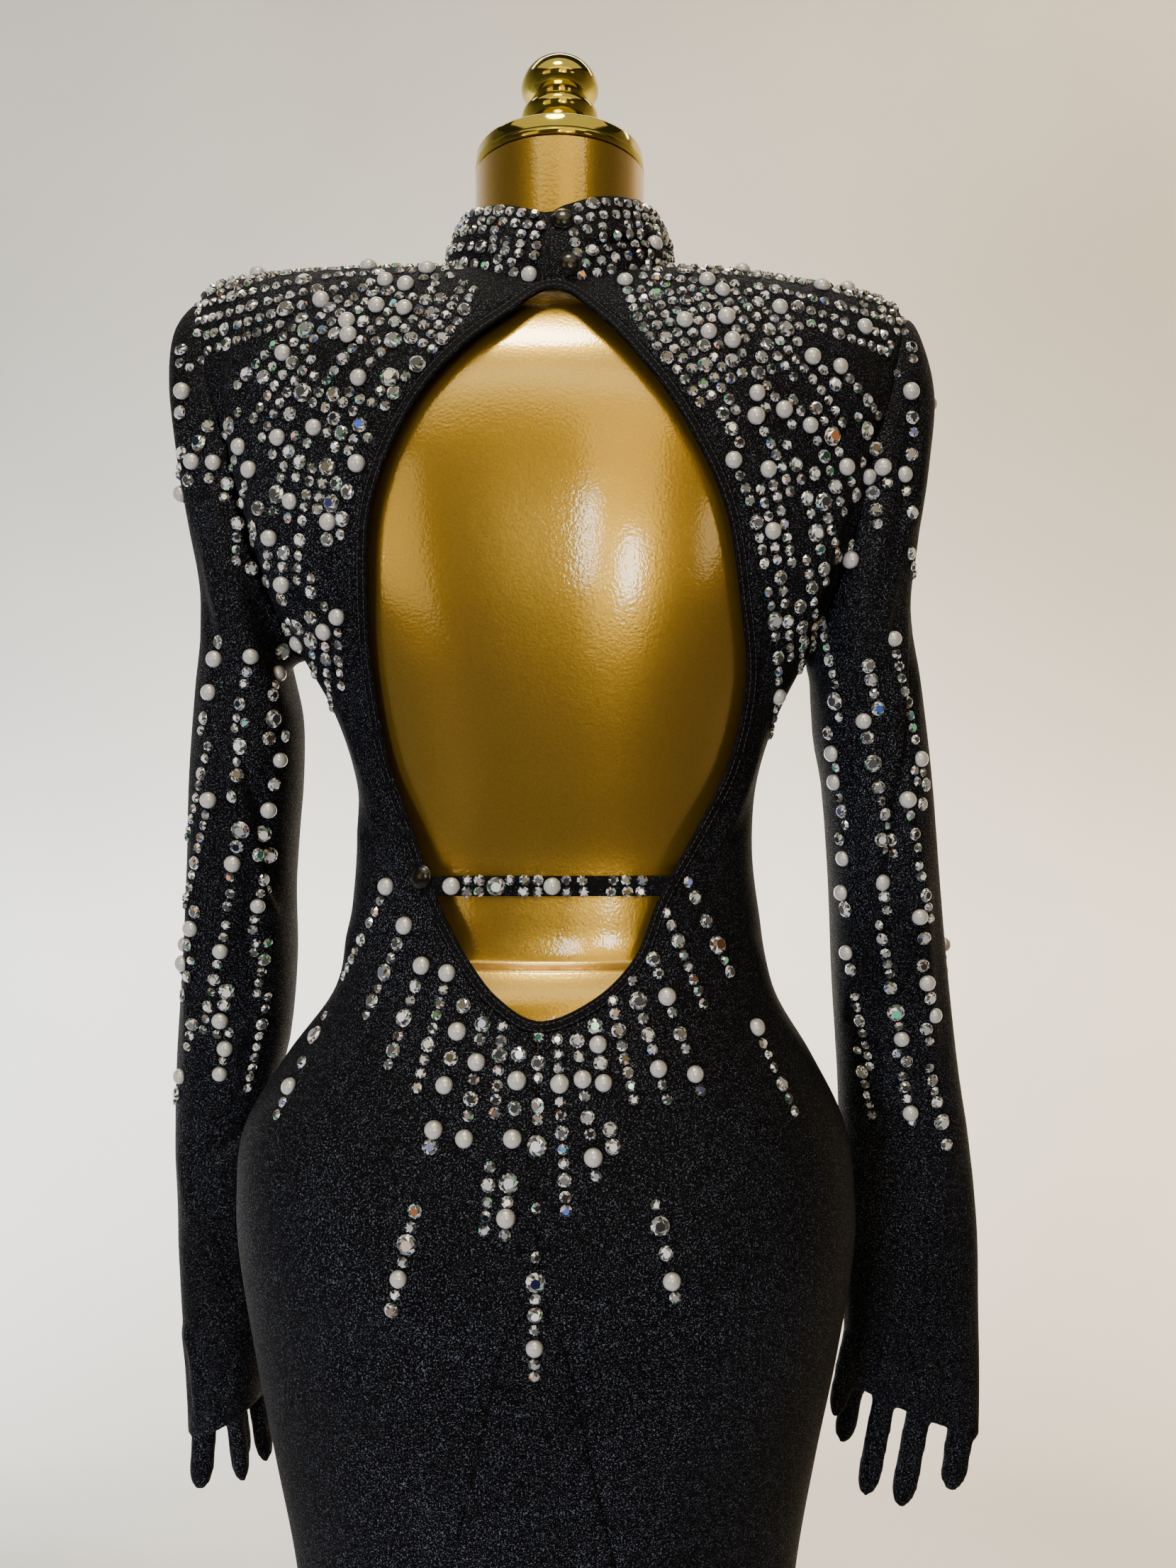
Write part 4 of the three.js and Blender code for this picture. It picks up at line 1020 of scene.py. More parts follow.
def make_sleeve(side, cloth):
    sign = 1 if side == "right" else -1
    shells = [loft("shell", sleeve_rings(side))]
    shells += [loft("shell", finger_rings(row, sign)) for row in FINGERS[side]]
    work = bmesh.new()
    for shell in shells:
        work.from_mesh(shell.data)
        bpy.data.objects.remove(shell)
    mesh = bpy.data.meshes.new("sleeve")
    work.to_mesh(mesh)
    work.free()
    arm = bpy.data.objects.new(f"sleeve_{side}_cloth", mesh)
    bpy.context.scene.collection.objects.link(arm)
    join = arm.modifiers.new("Join", "REMESH")
    join.mode, join.voxel_size, join.use_smooth_shade = "VOXEL", 2.7 * MM, True
    even = arm.modifiers.new("Even", "SMOOTH")
    even.factor, even.iterations = 0.5, 4
    settle(arm)

    # The closed end inside the shoulder is taken off, which leaves the armhole's seam edge.
    p = read_points(arm)
    inside = p[:, 0] * sign < side_width(p[:, 1], p[:, 2]) - 4.2
    inside &= (p[:, 2] > 1215) & (p[:, 0] * sign > 120)
    work = bmesh.new()
    work.from_mesh(arm.data)
    work.verts.ensure_lookup_table()
    bmesh.ops.delete(work, geom=[work.verts[i] for i in np.flatnonzero(inside)], context="VERTS")
    work.to_mesh(arm.data)
    work.free()

    p, normals = read_points(arm), read_normals(arm)
    folds = crease_lift(p, normals, SLEEVE_CREASES[side]) + overlap_lift(p, normals, OVERLAPS[side])
    write_points(arm, p + normals * folds[:, None])
    thicken(arm, cloth)
    arm.data.shade_smooth()
    fit_piece(arm, "cloth", "scuba_cloth", f"sleeve_{side}")


# ---- Collar ----

COLLAR_ROUND = 300
COLLAR_UP = 18


def height_on_dress(x, y):
    """Height of the dress surface above points near the neck."""
    low = np.full(x.shape, 1380.0)
    high = np.full(x.shape, float(RIDGE_Z))
    for _ in range(26):
        z = (low + high) / 2
        depth = np.where(y > 0, read_column(DRESS_LEVELS, "front", z), read_column(DRESS_LEVELS, "back", z))
        across = (np.abs(x) / read_column(DRESS_LEVELS, "half", z)) ** SQUARENESS
        inside = across + (np.abs(y) / depth) ** SQUARENESS < 1
        low, high = np.where(inside, z, low), np.where(inside, high, z)
    return low


def collar_points(deg, f, out, lower=0.0):
    """Points of the collar. deg turns from the middle of the back to the right, f rises to the rim."""
    angle = np.radians(deg - 90)
    pull = read_column(COLLAR_RISE, "pull", f, by="f")
    across = NECKLINE["half_x"] - 0.3
    along = NECKLINE["half_y"] - 0.3
    half_x = across + (COLLAR["half_x"] - across) * pull + out
    half_y = along + (COLLAR["half_y"] - along) * pull + out
    x, y = np.cos(angle), np.sin(angle)
    foot = height_on_dress(NECK_X + x * NECKLINE["half_x"], y * NECKLINE["half_y"]) - 1.5
    rim = read_column(COLLAR_RIM, "z", (deg + 540) % 360 - 180, by="deg") - lower
    return np.stack([NECK_X + x * half_x, y * half_y, foot + (rim - foot) * f], axis=-1)


def collar_outside(deg, f, under):
    crease = (1.2 * bell(f - 0.5, 0.05) - 2.2 * bell(f - 0.41, 0.045))
    crease = crease * smooth_step(8, 26, deg) * (1 - smooth_step(95, 130, deg))
    ripple = 0.5 * np.sin(np.radians(deg * 5 + 40)) * f * (1 - f) * 4
    rim = -0.7 * smooth_step(0.93, 1, f)
    return collar_points(deg, f, crease + ripple + rim - COLLAR["tuck"] * under, under)


def make_collar(cloth):
    turned = np.linspace(0, COLLAR["sweep"], COLLAR_ROUND)
    up = np.linspace(0, 1, COLLAR_UP)
    turned, up = np.meshgrid(turned, up)
    turned, up = turned.ravel(), up.ravel()
    # The upper end's corner is round, and the end folds in a little.
    left = COLLAR["sweep"] - turned
    corner = 9 * (1 - np.sqrt(np.clip(1 - ((9 - left) / 9) ** 2, 0, 1)))
    up = np.where(left < 9, up * (1 - corner * 0.018), up)
    under = 1 - smooth_step(COLLAR["lap"] + 2, COLLAR["lap"] + 22, turned)
    deg = (COLLAR["from"] - turned + 180) % 360 - 180
    points = collar_outside(deg, up, under)
    collar = new_object("collar_cloth", points, grid_faces(COLLAR_UP, COLLAR_ROUND))
    normals = read_normals(collar)
    if np.sum(normals[:, 0] * (points[:, 0] - NECK_X) + normals[:, 1] * points[:, 1]) < 0:
        collar.data.flip_normals()
    wall = collar.modifiers.new("Wall", "SOLIDIFY")
    wall.thickness, wall.offset = (cloth + 0.3) * MM, -1
    edge = collar.modifiers.new("Edge", "BEVEL")
    edge.width, edge.segments, edge.angle_limit = 0.5 * MM, 2, math.radians(50)
    settle(collar)
    collar.data.shade_smooth()
    fit_piece(collar, "cloth", "scuba_cloth", "collar")


# ---- Binding and strap ----

BINDING_EDGE = (
    (-0.1, -1.3), (-0.45, -0.8), (-0.5, 0.0), (-0.2, 0.7), (0.5, 1.05), (1.3, 0.85), (3.0, 1.1),
    (4.5, 0.85), (5.2, 0.9), (5.7, 0.5), (5.8, -0.2), (5.6, -1.3), (3.0, -1.4),
)


def back_surface(x, z):
    """Depth of the dress surface behind, seen square on, above the flutes."""
    half = read_column(DRESS_LEVELS, "half", z)
    across = np.abs(x - read_column(DRESS_LEVELS, "mid", z))
    seat = bell(across - SEAT["x"], SEAT["wide"]) * bell(z - SEAT["z"], SEAT["tall"]) * SEAT["dress"]
    rest = np.maximum(1 - (across / half) ** SQUARENESS, 0) ** (1 / SQUARENESS)
    return -(read_column(DRESS_LEVELS, "back", z) + seat) * rest


def back_normal(x, z):
    slope_x = back_surface(x + 1, z) - back_surface(x - 1, z)
    slope_z = back_surface(x, z + 1) - back_surface(x, z - 1)
    normal = np.stack([slope_x, np.full_like(x, -2.0), slope_z], axis=-1)
    return normal / np.linalg.norm(normal, axis=-1, keepdims=True)


def on_back(x, z, out=0.0):
    normal = back_normal(x, z)
    return np.stack([x, back_surface(x, z), z], axis=-1) + normal * np.asarray(out)[..., None], normal


def make_binding():
    count = 420
    turns = np.arange(count) / count * 2 * math.pi
    # The worn lower left edge wavers, where the cloth has been let out.
    low = cutout_outline(0, count)
    slack = 0.3 + bell(low[:, 1] - 1130, 60) * np.where(low[:, 0] < 0, 1.5, 0.5)
    waver = slack * (0.45 * np.sin(turns * 61) + 0.35 * np.sin(turns * 97 + 1))
    rings = []
    for margin, out in BINDING_EDGE:
        outline = cutout_outline(margin, count)
        rings.append(on_back(outline[:, 0], outline[:, 1], out + waver * (out > 0.3))[0])
    rings = np.array(rings)
    points = rings.reshape(-1, 3)
    faces = grid_faces(len(rings), count, around=True)
    last = (len(rings) - 1) * count
    faces += [(last + k, last + (k + 1) % count, (k + 1) % count, k) for k in range(count)]
    binding = new_object("binding_band", points, faces)
    outward_faces(binding)
    fit_piece(binding, "binding", "binding", "cutout_binding")


def strap_ring(x):
    y = STRAP["end_y"] - STRAP["sag"] * (1 - (x / STRAP["half_x"]) ** 2)
    half, thick = STRAP["height"] / 2, STRAP["thick"] / 2
    ring = []
    for k in range(20):
        turn = k / 20 * 2 * math.pi
        up = powered(math.sin(turn), 0.28) * half
        out = powered(math.cos(turn), 0.5) * thick
        ring.append((x, y + thick - out, STRAP["z"] + up))
    return ring


def make_strap():
    strap = loft("strap_band", [strap_ring(x) for x in np.linspace(-67.5, 69, 90)])
    fit_piece(strap, "binding", "binding", "back_strap")


# ---- Snaps ----

SNAP_PROFILE = (
    (0, 0), (6.0, 0), (6.5, 0.25), (6.6, 0.6), (6.45, 0.95), (6.1, 1.05), (5.9, 1.25), (5.6, 1.6),
    (4.9, 2.25), (4.0, 2.8), (2.9, 3.22), (1.7, 3.5), (0.7, 3.58), (0, 3.6),
)
COLLAR_SNAPS = rows("name deg f", ("collar_snap_upper", 3.0, 0.79), ("collar_snap_lower", 6.0, 0.22))
STRAP_SNAP = {"deg": 238.2, "z": 1099.5, "out": 1.3, "post": 2.1}


def make_snap(name, seat, away, post):
    """A domed snap cap, turned to face away from the cloth."""
    profile = [(r, h + post) for r, h in SNAP_PROFILE]
    if post:
        profile = [(0, 0), (2.2, 0), (2.2, post), *profile[1:]]
    cap = turned_piece(name + "_cap", [(max(r, 0.001), h) for r, h in profile], segments=48)
    turn = Vector((0, 0, 1)).rotation_difference(Vector(away)).to_matrix()
    points = read_points(cap) @ np.array(turn).T + np.asarray(seat)
    write_points(cap, points)
    fit_piece(cap, "snap", "snap", name)


def make_snaps():
    for row in COLLAR_SNAPS:
        deg, f = row["deg"], row["f"]
        near = collar_points(np.array([deg, deg + 1, deg - 1, deg, deg]),
                             np.array([f, f, f, f + 0.05, f - 0.05]), 0.0)
        away = np.cross(near[1] - near[2], near[3] - near[4])
        away /= np.linalg.norm(away)
        make_snap(row["name"], near[0] + away * 0.3, away, 0)
    angle, z = math.radians(STRAP_SNAP["deg"]), STRAP_SNAP["z"]
    near = dress_points(np.array([angle, angle + 0.01, angle - 0.01, angle, angle]),
                        np.array([z, z, z, z + 1, z - 1]))
    away = np.cross(near[1] - near[2], near[3] - near[4])
    away /= np.linalg.norm(away)
    make_snap("strap_snap", near[0] + away * STRAP_SNAP["out"], away, STRAP_SNAP["post"])


# ---- Form and stand ----

FORM_AROUND = 160
CAP_PROFILE = (
    (0, 1515.3), (49.6, 1515.3), (50.6, 1515.7), (51, 1516.5), (50.9, 1518.3), (50.3, 1518.8),
    (50.2, 1519.4), (50.6, 1520), (50.0, 1526.4), (49.4, 1527.4), (48.4, 1527.9), (40, 1528), (0, 1528),
)
FINIAL_PROFILE = (
    (0, 1528.3), (12.6, 1528.3), (13, 1528.8), (12.4, 1531), (11.6, 1534), (12.0, 1538), (14, 1541.5),
    (18.5, 1544.2), (21.3, 1546.6), (22.7, 1549.6), (23, 1552), (22.5, 1554.2), (20.6, 1556.8),
    (18, 1558.2), (17.2, 1559.4), (17.6, 1561), (20.2, 1563), (22.6, 1565.8), (23.3, 1568.2),
    (23.1, 1570.6), (22.3, 1573.6), (20.4, 1577.4), (17.4, 1581), (13.2, 1584), (8.4, 1585.9),
    (4, 1586.6), (0, 1586.7),
)
FLANGE_PROFILE = (
    (0, 734.7), (18, 734.7), (19, 735.7), (19, 752), (20, 755), (22.5, 756.7), (45, 756.7),
    (46, 757.7), (46, 763.7), (45, 764.7), (0, 764.7),
)
POLE_PROFILE = ((0, 44.3), (12, 44.3), (12.5, 44.8), (12.5, 733.9), (12, 734.4), (0, 734.4))
BASE_PROFILE = (
    (0, 0), (163.6, 0), (164.6, 0.5), (165, 1.6), (165, 9.6), (164.4, 11.8), (163, 13.3), (160.6, 14),
    (36, 14), (31, 14.8), (28.4, 16.6), (27, 19.5), (26, 24), (22.6, 40), (21.6, 42.8), (20, 44),
    (0, 44),
)


def make_form():
    heights = np.concatenate([
        np.arange(765, 1045, 6), np.arange(1045, 1057, 0.8), np.arange(1057, 1400, 5),
        np.arange(1400, 1442.1, 2.1),
    ])
    angles = np.linspace(0, 2 * math.pi, FORM_AROUND, endpoint=False)
    body = loft("form_shell", [form_points(angles, np.full(FORM_AROUND, z)) for z in heights])
    neck = turned_piece("neck", [
        (0.001, NECK_FOOT_Z), (NECK_RADIUS, NECK_FOOT_Z), (NECK_RADIUS, NECK_TOP_Z - 1),
        (NECK_RADIUS - 1, NECK_TOP_Z), (0.001, NECK_TOP_Z),
    ], NECK_X)
    union = body.modifiers.new("Neck", "BOOLEAN")
    union.object, union.operation, union.solver = neck, "UNION", "EXACT"
    settle(body)
    bpy.data.objects.remove(neck)
    body.data.shade_smooth()
    body.data.set_sharp_from_angle(angle=math.radians(35))
    fit_piece(body, "paint", "form_paint", "form_body")


def make_stand():
    for name, profile, x in (
        ("neck_cap", CAP_PROFILE, NECK_X), ("finial", FINIAL_PROFILE, NECK_X),
        ("form_flange", FLANGE_PROFILE, 0), ("stand_pole", POLE_PROFILE, 0),
        ("stand_base", BASE_PROFILE, 0),
    ):
        metal = turned_piece(name + "_metal", [(max(r, 0.001), z) for r, z in profile], x, 128)
        metal.data.set_sharp_from_angle(angle=math.radians(38))
        fit_piece(metal, "plate", "gold_plate", name)


# ---- Stones ----

EYE = (22, -712, 1150)     # where the camera stands, and where the rows are thrown on from
PATTERN_Y = -90            # the flat plane behind the back that the rows are drawn on
PITCH_GAP = 0.95           # cloth left between two stones of a row
# Width of each kind of stone: s small, m medium, l large, p pearl.
KINDS = {"s": 6.0, "m": 8.0, "l": 10.2, "p": 9.5}

# Larger stones of a row, by how far along it they lie in hundredths. The rest are small stones.
ROW_MARKS = (
    "p12 m30 l58 m85", "m8 p34 m60 p88", "l20 m46 p72", "m15 m40 l64 m90", "p25 m52 m78",
    "m10 l38 p66 m92", "m30", "p0 m60",
)
# Sizes of the groups of rows: rays on each side of the opening and over the shoulders, the fan
# that falls from the opening's foot, the strap's row, and the rows behind and beside the sleeves.
BACK_RAYS = {
    "count": 11, "top": 1415, "foot": 1152, "beside": 13, "outer_x": 112, "tip_x": 190, "tip_z": 1300,
    "inner_length": 270, "outer_length": 160,
}
SHOULDER_ROWS = {
    "count": 4, "near_x": 46, "near_z": 1422, "mid_x": 120, "mid_z": 1417, "tip_x": 186, "tip_z": 1402,
}
FAN = {"rays": 8, "pitch": 9.6, "turn": 3.2, "length": 112, "shorter": 6.5, "foot": 1017, "rise": 0.0145}
STRAP_ROW = {"count": 15, "from_x": -52, "pitch": 7.9}
ARM_ROWS = {
    "count": 26, "top": 1236, "foot": 1000, "inner": 136, "pitch": 19, "drift": 0.07, "slant": 0.22,
    "right_out": 10,
}
CAP_ROWS = {"count": 5, "top": 1384, "pitch": 27, "x": 192}
SIDE_ROWS = {"count": 16, "pitch": 22, "side_top": 1380, "front_top": 1350}
# The front's rays from the collar, and the fan at its waist.
FRONT_RAYS = {
    "rays": 11, "x": 5, "pitch": 9.4, "top": 1436, "fall": 1.6, "length": 265, "shorter": 13,
    "spread": 0.62,
}
WAIST_FAN = {"rays": 6, "x": 4, "z": 1128, "turn": 9.5, "length": 170, "shorter": 13, "near": 30}
# The collar's rows: how far up each one lies, and where round the neck it starts.
COLLAR_ROWS = rows(
    "f start", (0.08, 11.5), (0.21, 13.5), (0.34, 9.5), (0.47, 8.5), (0.6, 8.0), (0.74, 10.5),
    (0.9, 11.5),
)
COLLAR_ROW_END, COLLAR_STONE_PITCH = 351.5, 7.4


def cloth_tree():
    """One search tree over the outer cloth, with the name of the piece that each face is on."""
    points, faces, owner = [], [], []
    for piece in bpy.context.scene.objects:
        if piece.name.endswith("_cloth") or piece.name == "strap_band":
            start = len(points)
            points += [tuple(p) for p in read_points(piece)]
            faces += [tuple(start + i for i in face.vertices) for face in piece.data.polygons]
            owner += [piece.name] * len(piece.data.polygons)
    return BVHTree.FromPolygons(points, faces), owner


def throw_from_eye(u, w):
    way = np.array([u, PATTERN_Y, w], float) - EYE
    return Vector(EYE), Vector(way / np.linalg.norm(way))


def throw_from_front(u, w):
    return Vector((u, 420, w)), Vector((0, -1, 0))


def throw_from_above(u, w):
    return Vector((u, w, 1640)), Vector((0, 0, -1))


def throw_from_left(u, w):
    return Vector((-420, u, w)), Vector((1, 0, 0))


def throw_from_right(u, w):
    return Vector((420, u, w)), Vector((-1, 0, 0))


class Seats:
    """The places of the stones, kept apart from each other."""

    def __init__(self, tree, owner, settings):
        self.tree, self.owner = tree, owner
        self.kinds = {
            "s": settings.small / MM, "m": settings.medium / MM, "l": settings.large / MM,
            "p": settings.pearl_wide / MM,
        }
        self.gap = settings.gap / MM
        self.places, self.random = [], random.Random(RNG_SEED)
        self.spots = np.empty((0, 3))
        self.sizes = np.empty(0)

    def add(self, point, normal, kind, piece):
        wide = self.kinds[kind]
        if len(self.spots):
            gap = np.linalg.norm(self.spots - np.array(point), axis=1) - (self.sizes + wide) / 2
            if gap.min() < -0.3:
                return False
        self.spots = np.vstack([self.spots, np.array(point)])
        self.sizes = np.append(self.sizes, wide)
        self.places.append((tuple(point), tuple(normal), kind, piece))
        return True

    def drop(self, path, throw):
        """Points of a drawn path where it falls on the cloth, in runs with no jumps."""
        given = np.array(path, float)
        length = np.sum(np.linalg.norm(np.diff(given, axis=0), axis=1))
        drawn = spline(given, max(int(length / 0.8), 3)) if len(given) > 2 else np.linspace(
            given[0], given[1], max(int(length / 0.8), 3))
        run, runs = [], []
        for u, w in drawn:
            hit, normal, index, _ = self.tree.ray_cast(*throw(u, w), 1500)
            if hit is None or (run and (hit - run[-1][0]).length > 9):
                runs.append(run)
                run = []
            if hit is not None:
                run.append((hit, normal, self.owner[index]))
        return [r for r in [*runs, run] if r]

    def sew_row(self, path, marks, throw):
        """Sews one row: its marked stones first, then small ones between them."""
        marks = [(word[0], float(word[1:]) / 100) for word in marks.split()]
        runs = self.drop(path, throw)
        total = sum(len(run) for run in runs)
        done = 0
        for run in runs:
            steps = [0.0]
            for a, b in zip(run, run[1:]):
                steps.append(steps[-1] + (b[0] - a[0]).length)
            share = [(done + k) / max(total - 1, 1) for k in range(len(run))]
            done += len(run)
            taken = []
            for kind, at in marks:
                k = min(range(len(run)), key=lambda i: abs(share[i] - at))
                if abs(share[k] - at) < 0.06 and self.add(*run[k][:2], kind, run[k][2]):
                    taken.append((steps[k], kind))
            at = 0.0
            while at <= steps[-1]:
                near = [(t, kind) for t, kind in taken
                        if abs(t - at) < (self.kinds[kind] + self.kinds["s"]) / 2 + 0.5]
                if near:
                    t, kind = max(near)
                    at = t + (self.kinds[kind] + self.kinds["s"]) / 2 + 0.7
                    if at > steps[-1]:
                        break
                    continue
                k = int(np.searchsorted(steps, at))
                point, normal, piece = run[min(k, len(run) - 1)]
                self.add(point, normal, "s", piece)
                at += self.kinds["s"] + self.gap + self.random.uniform(-0.2, 0.4)


def facet_stone(name, sides, tiers):
    """A low faceted dome on a flat foot. tiers are radius, height and turn of each ring."""
    points, faces = [], []
    for radius, height, turn in tiers:
        for k in range(sides):
            angle = (k + turn) / sides * 2 * math.pi
            points.append((radius * math.cos(angle), radius * math.sin(angle), height))
    for r in range(len(tiers) - 1):
        shift = tiers[r + 1][2] - tiers[r][2]
        for k in range(sides):
            a, b = r * sides + k, r * sides + (k + 1) % sides
            c, d = b + sides, a + sides
            if shift:
                faces += [(a, b, d), (b, c, d)]
            else:
                faces.append((a, b, c, d))
    faces.append(tuple(reversed(range(sides))))
    faces.append(tuple(range((len(tiers) - 1) * sides, len(tiers) * sides)))
    stone = new_object(name, np.array(points) * 0.5, faces, smooth=False)
    stone.hide_render = True
    return stone


def stone_shapes():
    """Shapes one millimetre wide. The sewing tree scales them to each seat's own size."""
    small = facet_stone("small_shape", 8, ((0.94, 0, 0), (1.0, 0.22, 0), (0.52, 0.72, 0.5)))
    round_cut = (
        (0.9, 0, 0), (1.0, 0.12, 0), (1.0, 0.22, 0), (0.8, 0.46, 0.5), (0.5, 0.66, 0),
    )
    large = facet_stone("large_shape", 12, round_cut)
    turns = np.linspace(0, 2 * math.pi, 20, endpoint=False)
    rings = []
    for a in np.linspace(-0.25, 1.45, 8):
        ring = [(0.5 * math.cos(a) * math.cos(t), 0.5 * math.cos(a) * math.sin(t), 0.14 + 0.42 * math.sin(a))
                for t in turns]
        rings.append(np.array(ring))
    pearl = loft("pearl_shape", rings)
    pearl.hide_render = True
    return {"s": small, "m": large, "l": large, "p": pearl}


def sewing_tree():
    """Sets a shape on each point, turned to the cloth, and gives every facet its own random numbers for the
    crystal's painted glint and painted fire.
    """
    tree = bpy.data.node_groups.new("sew_on", "GeometryNodeTree")
    tree.is_modifier = True
    for label, kind, side in (
        ("Geometry", "NodeSocketGeometry", "INPUT"), ("Shape", "NodeSocketObject", "INPUT"),
        ("Finish", "NodeSocketMaterial", "INPUT"), ("Tilt", "NodeSocketFloat", "INPUT"),
        ("Spin", "NodeSocketFloat", "INPUT"), ("Seed", "NodeSocketInt", "INPUT"),
        ("Geometry", "NodeSocketGeometry", "OUTPUT"),
    ):
        tree.interface.new_socket(label, in_out=side, socket_type=kind)
    given = add_node(tree, "NodeGroupInput").outputs
    facing, along, size = (
        add_node(tree, "GeometryNodeInputNamedAttribute", {"Name": label}, data_type="FLOAT_VECTOR")
        for label in ("facing", "along", "size")
    )
    turn = add_node(
        tree, "FunctionNodeAxesToRotation",
        {0: facing.outputs["Attribute"], 1: along.outputs["Attribute"]},
        primary_axis="Z", secondary_axis="X",
    )
    lean = add_node(
        tree, "ShaderNodeCombineXYZ", {"X": given["Tilt"], "Y": given["Tilt"], "Z": given["Spin"]},
    )
    back = add_node(tree, "ShaderNodeVectorMath", {0: lean.outputs[0], 1: (-1, -1, -1)}, operation="MULTIPLY")
    wobble = add_node(
        tree, "FunctionNodeRandomValue", {0: back.outputs[0], 1: lean.outputs[0], "Seed": given["Seed"]},
        data_type="FLOAT_VECTOR",
    )
    twist = add_node(tree, "FunctionNodeEulerToRotation", {0: wobble.outputs[0]})
    rotation = add_node(
        tree, "FunctionNodeRotateRotation",
        {"Rotation": turn.outputs[0], "Rotate By": twist.outputs[0]}, rotation_space="LOCAL",
    )
    shape = add_node(
        tree, "GeometryNodeObjectInfo", {"Object": given["Shape"], "As Instance": True},
    )
    sewn = add_node(
        tree, "GeometryNodeInstanceOnPoints",
        {"Points": given["Geometry"], "Instance": shape.outputs["Geometry"],
         "Rotation": rotation.outputs[0], "Scale": size.outputs["Attribute"]},
    )
    real = add_node(tree, "GeometryNodeRealizeInstances", {"Geometry": sewn.outputs[0]}).outputs[0]
    for label, extra in (("glint", 11), ("fire", 23)):
        seed = add_node(tree, "FunctionNodeIntegerMath", {0: given["Seed"], 1: extra}, operation="ADD")
        chance = add_node(
            tree, "FunctionNodeRandomValue", {"Seed": seed.outputs[0]}, data_type="FLOAT",
        )
        real = add_node(
            tree, "GeometryNodeStoreNamedAttribute",
            {"Geometry": real, "Name": label, "Value": chance.outputs[1]},
            data_type="FLOAT", domain="FACE",
        ).outputs[0]
    done = add_node(tree, "GeometryNodeSetMaterial", {"Geometry": real, "Material": given["Finish"]})
    add_node(tree, "NodeGroupOutput", {0: done.outputs[0]})
    return tree


def sew_on(name, seats, shape, finish, tilt, spin, seed):
    """Makes one mesh of a shape set on many seats of point, facing, along and size."""
    cloud = new_object(name, [seat[0] for seat in seats], [])
    for label, column in (("facing", 1), ("along", 2), ("size", 3)):
        layer = cloud.data.attributes.new(label, "FLOAT_VECTOR", "POINT")
        layer.data.foreach_set("vector", np.array([seat[column] for seat in seats], float).ravel())
    group = bpy.data.node_groups.get("sew_on") or sewing_tree()
    sewing = cloud.modifiers.new("Sewing", "NODES")
    sewing.node_group = group
    values = {"Shape": shape, "Finish": finish_of(finish), "Tilt": tilt, "Spin": spin, "Seed": seed}
    for item in group.interface.items_tree:
        if item.in_out == "INPUT" and item.name in values:
            sewing[item.identifier] = values[item.name]
    settle(cloud)
    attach(cloud, "root")
    return cloud


def across_of(normal):
    """A direction square to a normal, level where it can be."""
    side = np.cross((0, 0, 1), normal)
    size = np.linalg.norm(side)
    return side / size if size > 0.05 else np.array((1.0, 0, 0))


def sew_strap(seats):
    """A pearl at each end and in the middle, a large stone between them, and pairs elsewhere."""
    for place in range(STRAP_ROW["count"]):
        x = STRAP_ROW["from_x"] + STRAP_ROW["pitch"] * place
        kind = {0: "p", 3: "l"}.get(place % 7, "pair")
        y = STRAP["end_y"] - STRAP["sag"] * (1 - (x / STRAP["half_x"]) ** 2)
        for up, one in ((3.2, "s"), (-3.2, "s")) if kind == "pair" else ((0, kind),):
            shift = seats.random.uniform(-0.9, 0.9)
            seats.add((x + shift, y, STRAP["z"] + up), (0, -1, 0), one, "strap_band")


def sew_collar(seats):
    """Close rows right round the collar, except on the placket that holds the snaps."""
    kinds = "sssssmsssssspssssmss"
    for level, row in enumerate(COLLAR_ROWS):
        f, deg, step = row["f"], row["start"], 0
        while deg < COLLAR_ROW_END:
            here = collar_outside(np.array([deg, deg + 1, deg]), np.array([f, f, f + 0.04]), 0)
            normal = np.cross(here[1] - here[0], here[2] - here[0])
            normal /= np.linalg.norm(normal)
            kind = kinds[(step * 3 + level * 7) % len(kinds)]
            seats.add(here[0], normal, kind, "collar_cloth")
            deg += COLLAR_STONE_PITCH + seats.random.uniform(-0.5, 0.9)
            step += 1


def sew_shoulders(seats):
    """Rows over the top of each padded shoulder, from the neckline out to its tip."""
    for sign in (-1, 1):
        for level in range(12):
            start = -42 + level * 8
            end = -46 + level * 8.4
            path = ((sign * 64 + 5, start), (sign * 130, start * 0.8), (sign * 208, end * 0.85))
            marks = ("p30 m62", "m20 l52 m84", "m40 p75", "l18 m58", "m34 p66", "m12 m48 l80")[level % 6]
            seats.sew_row(path, marks, throw_from_above)


def broken(random_source, start, end):
    """Splits a length into runs of stones with bare cloth between them."""
    at = start
    while at < end:
        stop = min(at + random_source.uniform(38, 105), end)
        if stop - at > 8:
            yield at, stop
        at = stop + random_source.uniform(9, 24)


